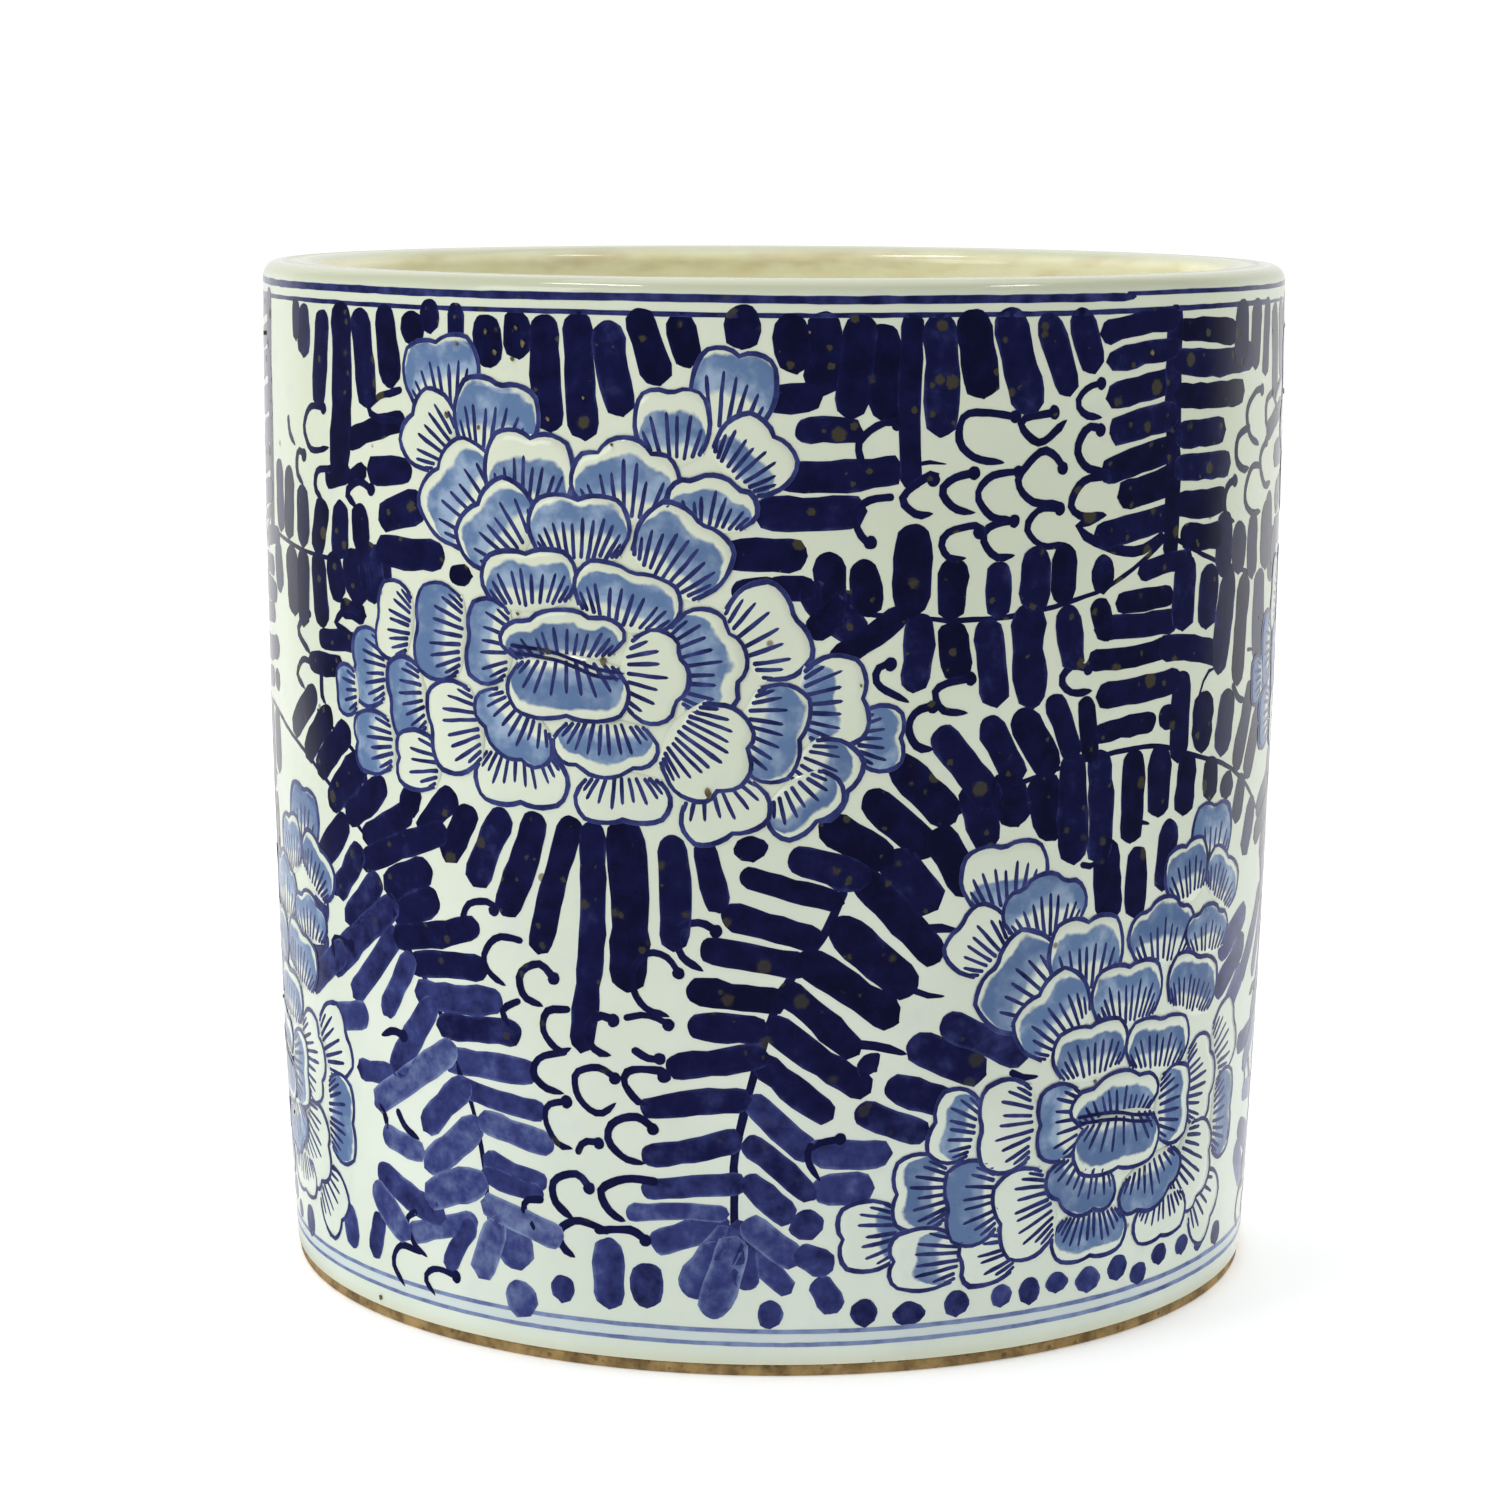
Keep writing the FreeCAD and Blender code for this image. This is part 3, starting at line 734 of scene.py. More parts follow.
DABS_LEFT_FROND = (
    (-81, 123, -110, 112, 5.5), (-86, 113.5, -101, 107, 6.5), (-84, 107, -98, 101, 7),
    (-72, 102, -98, 96, 5.5), (-70, 92, -93, 90, 5.5), (-66, 85, -91, 84, 6),
    (-61, 78, -84, 77, 5.5), (-57, 69, -82, 69, 5.5), (-55, 60, -78, 63, 4.5),
    (-53, 52, -72, 56, 5.5), (-55, 43, -71, 47, 4.5), (-56, 40, -72, 43, 4),
    (-51, 30, -72, 36, 5.5), (-117, 121, -134, 107, 6.5), (-111, 115, -122, 103, 6),
    (-104, 109, -118, 97, 6), (-98, 104, -126, 84, 6.5), (-120, 89, -139, 77, 6),
    (-98, 97, -116, 79, 5.5), (-93, 92, -103, 77, 5), (-86, 82, -100, 63, 6),
    (-80, 72, -108, 54, 6), (-76, 64, -90, 51, 6), (-73, 55, -90, 42, 6.5),
    (-72, 41, -90, 34, 7), (-108, 37.5, -85, 30, 6), (-75, 31, -97, 24, 4.5),
    (-76, 30, -84, 18, 4.5), (-105, 47, -91, 45, 5), (-110, 33, -98, 23, 6.5),
    (-99, 62, -115, 61, 5), (-111, 75, -130, 71, 6.5), (-129, 90, -150, 81, 6.5),
    (-128, 98, -144, 92, 7), (-68, 32, -74, 18, 6), (-66, 32, -62, 22, 9),
    (-64, 17, -60, 11, 8),
)
DABS_UPPER_LEFT = (
    (-92, 217, -113, 211, 4.5), (-90, 206, -104, 205, 6), (-86, 198, -100, 194, 7),
    (-80, 187, -101, 187, 6.5), (-77, 183, -72, 183, 4), (-112, 185, -108, 174, 8),
    (-105, 187, -103, 175, 8), (-101, 186, -100, 176, 7), (-116, 172, -107, 171, 4),
    (-154, 203, -153, 187, 6), (-145, 202, -146, 186, 6.5), (-136, 198, -136, 185, 6.5),
    (-124.5, 196, -128, 184, 6.5), (-116, 196, -117, 184, 6.5), (-108, 196, -107, 186, 6),
    (-157, 183, -155, 172, 7), (-145, 183, -143, 168, 8), (-136, 183, -136.5, 166, 6.5),
    (-127.5, 183, -125.5, 167, 6.5), (-120, 184, -117, 174, 6.5),
    (-127, 163.5, -110, 164, 4.5), (-133, 157.5, -117, 158, 5), (-122, 202, -112, 204, 5),
    (-112, 202, -106, 205, 4),
)
# Round dabs in the bottom row: across and up of the middle, width, height, lean to the right.
BOTTOM_DABS = (
    (-152, 14, 8, 11, 0), (-136, 18, 6.5, 10, 0), (-123, 20, 7, 14, 1),
    (-110.5, 20.5, 6, 14, -4), (-131, 26, 4, 5, 0), (-50.5, 18, 6.5, 9, -1),
    (-38.5, 23, 7.5, 20, 0), (-29, 21, 8, 14, 0), (0.5, 15, 6, 9, 0), (11, 28, 7, 7, 9),
    (14, 19.5, 7, 11, 5), (23, 15, 7, 9, 1), (34, 14, 8.5, 9, 0), (46, 15.5, 7.5, 9, 0),
    (58, 16, 6.5, 8, 0), (66, 16, 6.5, 9, 0), (74, 17, 7.5, 8, 0), (84, 16, 8, 9.5, 0),
    (94, 17, 7.5, 9, 0), (102, 14, 6.5, 8, 0), (110.5, 17, 7, 8, 0), (121, 17, 7.5, 7.5, 0),
    (130.5, 15, 5, 6, 0), (142, 15, 7, 9, 0),
)
# Long thin stems: width, then the points they run through.
STEMS = (
    (1.2, (104, 190), (120, 184), (145, 178)),
    (1.2, (9, 178), (30, 176), (45, 175), (60, 176), (80, 180), (95, 187), (103, 192)),
    (1.2, (42, 131), (58, 137), (70, 140), (85, 142), (100, 142), (115, 138), (130, 134),
     (145, 127), (158, 118)),
    (2.0, (17, 115), (12, 104), (7, 98), (3, 91), (0, 84), (-2, 77), (-4, 70), (-6, 62),
     (-8, 52), (-8, 40), (-8, 28)),
    (1.4, (-100, 105), (-93, 93), (-85, 83), (-80, 70), (-75, 60), (-72, 48), (-71, 38),
     (-70, 25)),
    (1.1, (-130, 146), (-112, 138), (-108, 131), (-120, 124)),
    (1.1, (-160, 186), (-140, 184), (-125, 183), (-115, 184), (-100, 188)),
    (2.5, (100, 191), (90, 188), (78, 191), (73, 195), (80, 197)),
    (1.0, (28, 209), (34, 210.5), (39, 210)),
    (1.6, (33, 91), (37, 89.5), (41, 89)),
    (2.2, (20, 79), (26, 78), (32, 76)),
    (2.2, (35, 105), (40, 105), (44, 104)),
    (1.8, (58, 70), (62, 68), (66, 68)),
    (0.9, (116, 152), (119, 157), (124, 158)),
    (0.9, (142, 160), (145, 160), (148, 159)),
    (1.6, (90, 124), (94, 125), (98, 124)),
    (1.6, (76, 117), (79, 116), (82, 117)),
)
# Curled hooks: whether the stroke starts or ends in a blob, then its points.
HOOKS = (
    ("s", (29, 219), (24, 219), (19, 215), (20, 209)),
    ("s", (57, 220), (44, 221), (42, 215), (46, 211), (53, 210)),
    ("s", (67, 221), (57, 219), (62, 214), (69, 219)),
    ("s", (80, 227), (75, 226), (72, 223), (74, 220), (79, 219)),
    ("s", (80, 216), (75, 217), (72, 212), (75, 208), (80, 207)),
    ("s", (69, 207), (66, 211), (62, 212), (56.5, 206), (60, 201), (68, 200)),
    ("s", (58, 208), (50, 207), (46.5, 203), (50, 198), (56, 197)),
    ("s", (47, 208), (41, 207), (38, 204), (41, 200), (46, 199)),
    ("s", (82, 206), (74, 205), (70.5, 200), (74, 197), (81, 197)),
    ("s", (36, 205), (36, 208), (29, 203), (32, 199), (36, 199)),
    ("b", (27, 203), (21, 202), (18, 199), (20, 194), (23, 192)),
    ("s", (47, 193), (47, 196), (40, 195), (38, 192), (40, 189), (44, 189)),
    ("s", (57, 197), (50, 196), (48, 193), (51, 189), (56, 189)),
    ("s", (69, 199), (62, 199), (59, 195), (63, 191), (70, 191)),
    ("s", (28, 166), (24, 165), (24, 161), (31, 157)),
    ("s", (47, 162), (40, 161), (37, 159), (39, 155), (45, 154)),
    ("s", (38, 156), (33, 155), (31, 151), (33, 147), (37, 146)),
    ("s", (78, 162), (72, 163), (69, 160), (72, 157), (78, 157)),
    ("s", (149, 222), (143, 222), (137, 218), (139, 212), (146, 209)),
    ("n", (139, 214), (132, 212), (131, 207), (135, 204), (139, 204)),
    ("n", (148, 204), (141, 204), (137, 199), (138, 195), (143, 193), (149, 193)),
    ("s", (132, 202), (127, 201), (125, 197), (127, 193), (131, 192)),
    ("s", (154, 210), (148, 207), (148, 203), (152, 199), (158, 199)),
    ("n", (158, 221), (152, 219), (152, 214), (157, 211)),
    ("n", (133, 153), (137, 149), (142, 148)),
    ("s", (-122, 218), (-130, 218), (-134, 213), (-130, 208), (-121, 209)),
    ("n", (-145, 215), (-144, 211), (-140, 208)),
    ("s", (-133, 206), (-138, 207), (-139, 202), (-135, 199)),
    ("n", (-121, 204), (-127, 203), (-128, 199), (-124, 196)),
    ("s", (-102, 200), (-108, 202), (-113, 199), (-109, 196)),
    ("n", (-92, 224), (-100, 222), (-104, 219), (-100, 217), (-92, 217)),
    ("n", (-108, 171), (-114, 172), (-119, 168), (-112, 166)),
    ("n", (-132, 169), (-139, 166), (-140, 163), (-133, 159)),
    ("n", (-131, 157), (-138, 157), (-142, 153), (-137, 150)),
    ("n", (-127, 156), (-127, 150), (-125, 148)),
    ("e", (-76, 103), (-74, 107), (-68, 108), (-66, 105)),
    ("n", (-59, 100), (-66, 100), (-70, 95), (-68, 91), (-64, 89)),
    ("s", (-50, 91), (-55, 95), (-60, 92), (-59, 87), (-54, 85)),
    ("n", (-60, 86), (-65, 83), (-63, 79)),
    ("n", (-47, 85), (-53, 84), (-54, 79), (-50, 75), (-47, 76)),
    ("s", (-35, 83), (-40, 84), (-43, 80), (-41, 76), (-37, 75)),
    ("e", (-34, 84), (-28, 85), (-22, 82.5)),
    ("e", (-32, 77), (-28, 75), (-24, 75)),
    ("s", (-20, 94), (-24, 99), (-29, 99), (-32, 93), (-29, 87), (-23, 85)),
    ("s", (-11, 104.5), (-16, 107), (-21, 105), (-20, 99), (-15, 96)),
    ("n", (-48, 75), (-55, 73), (-57, 69), (-54, 66), (-49, 65)),
    ("s", (-35, 69), (-40, 72), (-46, 70), (-45, 64), (-40, 61), (-36, 64)),
    ("s", (-25, 69.5), (-24, 72), (-32, 72), (-34, 69), (-31, 65), (-28, 64)),
    ("s", (-47, 63.5), (-53, 62), (-54, 58), (-51, 53), (-47, 52)),
    ("s", (-26, 57.5), (-31, 61), (-37, 59), (-38, 55), (-34, 51), (-29, 50)),
    ("e", (-46, 51), (-44, 54), (-39, 54)),
    ("s", (-42, 42), (-46, 46), (-52, 44), (-52, 39), (-47, 35)),
    ("n", (-26, 46), (-34, 46), (-40, 43), (-38, 38), (-34, 36)),
    ("n", (-55, 39), (-60, 38), (-60, 34), (-57, 31)),
    ("n", (-38, 33), (-46, 35), (-51, 32), (-50, 28), (-47, 26)),
    ("e", (-42, 33), (-33, 34), (-28, 31)),
    ("n", (-94, 30), (-98, 27), (-96, 22), (-91, 19)),
    ("n", (-93, 20), (-101, 20), (-104, 15), (-100, 10)),
    ("s", (-80, 16), (-88, 17), (-92, 14), (-89, 10)),
    ("n", (-109, 54), (-105, 52), (-104, 48)),
    ("n", (-100, 54), (-97, 50), (-92, 48)),
    ("s", (-95, 72), (-100, 73), (-105, 71)),
    ("s", (-115, 91), (-125, 91), (-125, 86)),
    ("n", (-133, 102), (-128, 104), (-122, 102)),
    ("n", (29, 87), (28, 91), (31, 92)),
    ("n", (10, 56), (9, 52), (12, 47)),
    ("s", (18, 57), (12, 56), (10, 54)),
)
# Petals, outermost first: across and up of the foot of the petal, the way it points in degrees
# from the right, its width and length, how many lobes it has, how many hatch lines, and where
# its band of wash starts and stops between foot (0) and outline (1); 0, 0 is no wash.
UPPER_FLOWER = (
    (-100, 159, 180, 20, 13, 2, 8, 0.5, 1), (-111, 153, 185, 13, 9, 2, 5, 0.3, 1),
    (-98, 142, 185, 16, 15, 2, 6, 0.6, 1), (-91, 170, 170, 20, 12, 2, 9, 0, 0),
    (-87, 154, 190, 21, 12, 2, 8, 0.4, 1), (-83, 139, 180, 15, 14, 2, 5, 0, 0),
    (20, 149, 0, 16, 11, 2, 7, 0.3, 0.9), (8, 157, 5, 22, 15, 2, 7, 0.1, 0.5),
    (7, 143, 330, 20, 14, 2, 7, 0.5, 0.8), (5, 138, 305, 20, 11, 2, 7, 0.6, 0.8),
    (-12, 137, 290, 22, 12, 2, 6, 0, 0), (-6, 170, 30, 24, 15, 2, 7, 0, 0),
    (-5, 152, 345, 24, 14, 2, 9, 0.4, 0.9), (-79, 222, 100, 24, 16, 2, 9, 0.55, 0.95),
    (-10, 219, 80, 20, 18, 2, 7, 0.6, 0.95), (-79, 212, 145, 20, 14, 2, 7, 0, 0),
    (-66, 212, 80, 24, 17, 2, 9, 0.5, 0.9), (-22, 212, 92, 18, 16, 2, 6, 0.3, 0.65),
    (-8, 208, 45, 20, 14, 2, 8, 0.2, 0.5), (-68, 196, 140, 26, 20, 2, 8, 0.55, 0.8),
    (-57, 199, 85, 24, 19, 2, 10, 0.4, 0.65), (-33, 199, 90, 26, 17, 3, 9, 0.4, 0.75),
    (-14, 197, 80, 21, 11, 3, 9, 0.3, 0.7), (-60, 190, 135, 24, 16, 2, 8, 0.5, 0.85),
    (-44, 189, 90, 26, 15, 2, 12, 0.6, 0.85), (-24, 185, 55, 24, 17, 2, 9, 0.4, 0.8),
    (-56, 178, 95, 26, 13, 2, 10, 0.45, 0.75), (-34, 175, 75, 27, 13, 2, 10, 0.4, 0.8),
    (-21, 165, 10, 25, 16, 3, 9, 0.2, 0.75), (-20, 150, 325, 24, 18, 3, 11, 0, 0),
    (-75, 169, 175, 24, 15, 2, 9, 0.55, 1), (-71, 149, 190, 23, 15, 2, 8, 0, 0),
    (-59, 143, 270, 26, 13, 2, 10, 0, 0), (-34, 139, 272, 24, 11, 2, 9, 0, 0),
    (-32, 163, 355, 22, 14, 3, 7, 0, 0), (-62, 168, 175, 21, 12, 2, 7, 0.6, 1),
    (-58, 153, 235, 24, 12, 3, 9, 0.55, 0.95), (-38, 151, 270, 26, 12, 3, 10, 0.35, 0.7),
    (-48, 166, 95, 32, 11, 3, 12, 0.3, 0.75), (-47, 164.5, 270, 32, 14, 2, 9, 0.3, 0.8),
)
LOWER_FLOWER = (
    (30, 34, 185, 18, 15, 2, 7, 0.05, 0.3), (42, 43, 180, 20, 14, 2, 8, 0.4, 0.8),
    (45, 27, 180, 16, 18, 2, 6, 0.4, 0.6), (60, 27, 190, 14, 15, 2, 6, 0, 0),
    (49, 57, 165, 19, 12, 2, 8, 0.4, 0.7), (55, 40, 185, 22, 14, 2, 8, 0.4, 1),
    (134, 63, 25, 20, 15, 2, 7, 0, 0), (135, 46, 0, 24, 14, 2, 10, 0.3, 0.9),
    (128, 28, 320, 20, 14, 2, 6, 0, 0), (56, 110, 95, 24, 15, 2, 9, 0.1, 0.4),
    (125, 111, 85, 22, 16, 2, 8, 0.5, 1), (53, 98, 140, 18, 13, 2, 7, 0, 0),
    (67, 102, 95, 24, 14, 3, 10, 0.65, 1), (115, 105, 100, 20, 14, 2, 8, 0.5, 0.85),
    (130, 102, 60, 22, 12, 2, 10, 0.4, 0.8), (67, 86, 145, 26, 19, 2, 8, 0.55, 0.85),
    (79, 88, 90, 24, 18, 2, 9, 0.5, 0.8), (105, 91, 88, 27, 15, 3, 9, 0.55, 0.9),
    (125, 90, 85, 23, 11, 3, 8, 0.5, 0.9), (74, 77, 130, 24, 16, 2, 9, 0.5, 0.85),
    (93, 78, 90, 26, 15, 2, 12, 0.55, 0.85), (118, 77, 75, 26, 14, 2, 11, 0.4, 0.85),
    (82, 67, 95, 25, 13, 2, 10, 0.45, 0.75), (105, 65, 85, 27, 13, 2, 10, 0.45, 0.75),
    (119, 57, 5, 24, 15, 3, 10, 0, 0), (118, 40, 330, 24, 18, 3, 9, 0, 0),
    (64, 57, 180, 24, 15, 2, 9, 0, 0), (70, 37, 195, 24, 16, 2, 10, 0, 0),
    (84, 32, 270, 26, 12, 2, 12, 0.3, 0.8), (110, 31, 272, 24, 11, 2, 10, 0, 0),
    (107, 54, 0, 21, 14, 2, 8, 0.35, 0.75), (78, 56, 180, 20, 13, 2, 7, 0.6, 1),
    (82, 44, 250, 24, 12, 3, 9, 0.5, 0.95), (104, 41, 285, 26, 12, 3, 9, 0.4, 0.95),
    (91, 54, 93, 31, 12, 3, 13, 0.35, 0.7), (92, 54, 270, 32, 14, 2, 8, 0.3, 0.8),
)
# The short double stroke across the heart of each flower.
HEART_LINES = (
    ((-61, 168), (-50, 167), (-40, 164), (-33, 163)),
    ((-60, 166.4), (-49, 165.2), (-40, 162.4), (-34, 161.8)),
    ((78, 56.5), (90, 56), (98, 54), (105, 53)),
    ((79, 55), (90, 54.3), (98, 52.4), (104, 51.6)),
)
# Iron spots: across, up and size.
IRON_SPOTS = (
    (-38, 165.5, 3.2), (-14, 136.5, 3.4), (83, 64.5, 1.6), (102, 39, 1.5), (-59, 175, 1.4),
    (-67, 238, 1.9), (-64.5, 233.5, 2.2), (-59, 239, 1.5), (-57.5, 235.5, 2.4), (-60, 232, 1.6),
    (-78, 219, 2.3), (-69, 216.5, 1.5), (-75, 235, 1.6), (-51, 219, 1.8), (-42.5, 224, 1.1),
    (-110, 5, 2.0), (8, 239, 1.3), (-36, 214, 1.4), (94, 233, 2.2), (20, 161, 1.3),
)
BEHIND = 399.0   # how far round the copies go: just past the middle of the back


def thirds(across):
    """The shifts at which a front motif is repeated round the pot, every third of the way."""
    low, high = FRONT
    shifts = [0.0] if low <= across <= high else []
    if high < across + THIRD <= BEHIND:
        shifts.append(THIRD)
    if -BEHIND < across - THIRD < low:
        shifts.append(-THIRD)
    return shifts


def moved(spots, shift, luck=None, amount=0.0):
    """The spots shifted along the wall, each a little off when it is a copy."""
    if not shift or luck is None:
        return [(x + shift, y) for x, y in spots]
    return [
        (x + shift + luck.uniform(-amount, amount), y + luck.uniform(-amount, amount))
        for x, y in spots
    ]


def paint_load(luck, across, up):
    """How full the brush was: the lower strokes at both sides were made with thinner cobalt."""
    thin_below = 28 + 0.36 * abs(across - 5)
    base = 0.44 + 0.56 * min(1.0, max(0.0, (up - thin_below) / 55))
    return base + luck.uniform(-0.12, 0.16)


def paint_dabs(work):
    """Every broad dab, all round the pot."""
    groups = (
        DABS_BELOW_LINE + DABS_UPPER_FROND + DABS_MIDDLE_ARC + DABS_LOWER_ARC
        + DABS_CENTRE_FROND + DABS_UNDER_FLOWER + DABS_LEFT_FROND + DABS_UPPER_LEFT
    )
    luck = work.luck
    for x0, y0, x1, y1, width in groups:
        wide, high = x1 - x0, y1 - y0
        x, y = (x0 + x1) / 2, (y0 + y1) / 2
        load = paint_load(luck, x, y)
        bow = luck.uniform(-0.035, 0.035)
        longer = 1.0 / math.hypot(wide, high)
        for shift in thirds(x):
            start = (x0 - wide * longer, y0 - high * longer)
            middle = (x - bow * high, y + bow * wide)
            stop = (x1 + wide * longer, y1 + high * longer)
            line = moved([start, middle, stop], shift, luck, 0.6)
            work.path(line, width * 1.16, load, luck.uniform(0.03, 0.07), 1.2, 3.2)
    for x, y, width, height, lean in BOTTOM_DABS:
        load = paint_load(luck, x, y) + 0.1
        tall = max(height - width * 0.35, 3.0) / 2
        for shift in thirds(x):
            line = moved([(x - lean / 2, y + tall), (x + lean / 2, y - tall)], shift, luck, 0.5)
            work.path(line, width, load, luck.uniform(0.03, 0.07), 1.0, 2.2)


def paint_lines(work):
    """Stems and curled hooks, with a blob where the brush was set down."""
    luck = work.luck
    for width, *spots in STEMS:
        for shift in thirds(sum(x for x, _ in spots) / len(spots)):
            line = moved(spots, shift, luck, 0.4)
            work.path(line, width, 0.95, luck.uniform(0.02, 0.03), 3.0, 3.0)
    for blob, *spots in HOOKS:
        for shift in thirds(sum(x for x, _ in spots) / len(spots)):
            line = moved(spots, shift, luck, 0.3)
            work.path(line, luck.uniform(1.6, 2.0), 0.95, luck.uniform(0.05, 0.07), 2.2, 1.7)
            if blob == "n":
                continue
            tip, inner = (line[0], line[1]) if blob == "s" else (line[-1], line[-2])
            step = 3.0 / max(math.dist(tip, inner), 1.0)
            inner = (tip[0] + (inner[0] - tip[0]) * step, tip[1] + (inner[1] - tip[1]) * step)
            work.path([tip, inner], 3.1, 0.98, 0.075, 0.5, 1.2)


# ---------------------------------------------------------------- petals

PETAL_FAN = 112            # degrees from the tip to where the outline ends, either side
LOBE_SPREAD = 0.5 / 0.92   # the lobes share out this much of half the outline
NOTCH_DEPTH = 0.2
NOTCH_SHARPNESS = 1.25
SQUARENESS = 0.3
PETAL_FOOT = 0.16          # how far the foot reaches back, as a share of the length
NO_WASH = (3.0, 2.0)
PATCH_ROWS = 6
PATCH_COLUMNS = 22


def petal_frame(petal):
    """A function from (side -1..1, reach 0..1) of a petal to a spot on the unrolled wall."""
    x, y, way, width, length, lobes = petal[:6]
    turn = math.radians(way)
    ahead = (math.cos(turn), math.sin(turn))
    aside = (math.sin(turn), -math.cos(turn))

    def spot(side, reach):
        angle = math.radians(side * PETAL_FAN)
        share = min(1.0, max(0.0, side * LOBE_SPREAD + 0.5))
        notch = (1 - abs(math.sin(lobes * math.pi * share))) ** NOTCH_SHARPNESS
        square = max(abs(math.sin(angle)), abs(math.cos(angle))) ** -SQUARENESS
        swell = (1.0 - NOTCH_DEPTH * notch) * square
        out_side = math.sin(angle) * width / 2 * swell
        out_up = length * (0.25 + 0.75 * math.cos(angle) * swell)
        foot_side = side * width * 0.4
        foot_up = -PETAL_FOOT * length * math.cos(angle * 0.8)
        s = foot_side + (out_side - foot_side) * reach
        t = foot_up + (out_up - foot_up) * reach
        return (x + ahead[0] * t + aside[0] * s, y + ahead[1] * t + aside[1] * s)

    return spot


class Petals:
    """Collects petal patches, their outlines and their hatching."""

    def __init__(self, seed):
        self.luck = random.Random(seed)
        self.points, self.faces = [], []
        self.values = {n: [] for n in ("lift", "reach", "wash_from", "wash_to", "load")}
        self.outlines = Brushwork(seed + 1)

    def flower(self, petals, shift, base=0.1, step=0.02):
        """One flower; a petal lies above those before it that it overlaps."""
        placed = []
        for petal in petals:
            x, y, way, width, length = petal[:5]
            turn = math.radians(way)
            middle = (x + math.cos(turn) * length / 2, y + math.sin(turn) * length / 2)
            size = (width + length) / 4
            below = [
                level for spot, other, level in placed
                if math.dist(spot, middle) < (other + size) * 1.15
            ]
            level = 1 + max(below, default=-1)
            placed.append((middle, size, level))
            off = (self.luck.uniform(-1, 1), self.luck.uniform(-1, 1)) if shift else (0, 0)
            self.petal((x + shift + off[0], y + off[1], *petal[2:]), base + step * level, step)

    def petal(self, petal, lift, step):
        """One petal: the patch, its outline and its hatch lines."""
        hatches, wash_from, wash_to = petal[6:9]
        hatches += 2
        if wash_to == 0:
            wash_from, wash_to = NO_WASH
        spot = petal_frame(petal)
        load = max(0.0, self.luck.uniform(-0.3, 0.5))
        values = {"lift": lift * MM, "wash_from": wash_from, "wash_to": wash_to, "load": load}
        self.patch(spot, values)
        edge = [spot(k / 17 - 1, 0.985) for k in range(35)]
        width = self.luck.uniform(1.0, 1.2)
        self.outlines.path(edge, width, 0.57, lift + step * 0.55, 1.0, 1.9)
        for k in range(hatches):
            side = (k + 0.5 + self.luck.uniform(-0.12, 0.12)) / hatches * 1.76 - 0.88
            start = self.luck.uniform(0.06, 0.12)
            stop = self.luck.uniform(0.62, 0.76) - 0.12 * abs(side)
            line = [spot(side, start), spot(side * 1.01, (start + stop) / 2), spot(side, stop)]
            self.outlines.path(line, 1.0, 0.6, lift + step * 0.5, 0.9, 2.2)

    def patch(self, spot, values):
        """The closed slab under one petal: a top grid, the same grid below, and a rim."""
        rows, columns = PATCH_ROWS, PATCH_COLUMNS
        first = len(self.points)
        for top in (MM, -MM):
            for row in range(rows):
                reach = (row / (rows - 1)) ** 0.8
                for column in range(columns):
                    across, up = spot(2 * column / (columns - 1) - 1, reach)
                    self.points.append((across * MM, up * MM, top))
                    self.values["reach"].append((1 + PETAL_FOOT) * reach - PETAL_FOOT)
                    for name, value in values.items():
                        self.values[name].append(value)
        under = rows * columns
        for row in range(rows - 1):
            for column in range(columns - 1):
                a = first + row * columns + column
                b, c, d = a + 1, a + columns + 1, a + columns
                self.faces.append((a, b, c, d))
                self.faces.append((a + under, d + under, c + under, b + under))
        rim = [first + c for c in range(columns)]
        rim += [first + r * columns + columns - 1 for r in range(1, rows)]
        rim += [first + (rows - 1) * columns + c for c in range(columns - 2, -1, -1)]
        rim += [first + r * columns for r in range(rows - 2, 0, -1)]
        for a, b in zip(rim, rim[1:] + rim[:1]):
            self.faces.append((b, a, a + under, b + under))

    def patches(self, name, tree, finish):
        """The collected petal patches as one plain mesh piece."""
        return grow(
            name, self.points, [], self.faces, self.values, tree, finish, "outer_glaze",
            Edge_wobble=0.2 * MM,
        )


# ---------------------------------------------------------------- make the pot

glaze = glazed_porcelain()
cobalt = painted_cobalt()
wash = petal_wash()
inside = glazed_interior()
toasted = bare_clay("toasted_foot_clay", "#a58a58", "#6a532f", 0.86)
body_clay = bare_clay("fired_porcelain_clay", "#d9d2bf", "#c9bfa6", 0.8)
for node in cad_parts.values():
    for slot in node.material_slots:
        slot.material = body_clay

wrap = wrap_group()
strokes = stroke_tree(wrap)
slabs = slab_tree(wrap)
coats = coat_tree()

turned("outer_coat", outer_coat_outline(), glaze, "outer_glaze", "outer_glaze", coats)
turned("inner_coat", inner_coat_outline(), inside, "inner_glaze", "inner_glaze", coats)
turned("standing_ring", foot_outline(), toasted, "bare_fired_clay", "foot_ring", coats)
turned("base_coat", base_coat_outline(), glaze, "outer_glaze", "base_glaze", coats)

dabs = Brushwork(SEED)
paint_dabs(dabs)
dabs.piece("cobalt_dabs", strokes, cobalt, "cobalt_blue")
lines = Brushwork(SEED + 1)
paint_lines(lines)
lines.piece("cobalt_stems_and_hooks", strokes, cobalt, "cobalt_blue", Edge_wobble=0.3 * MM)

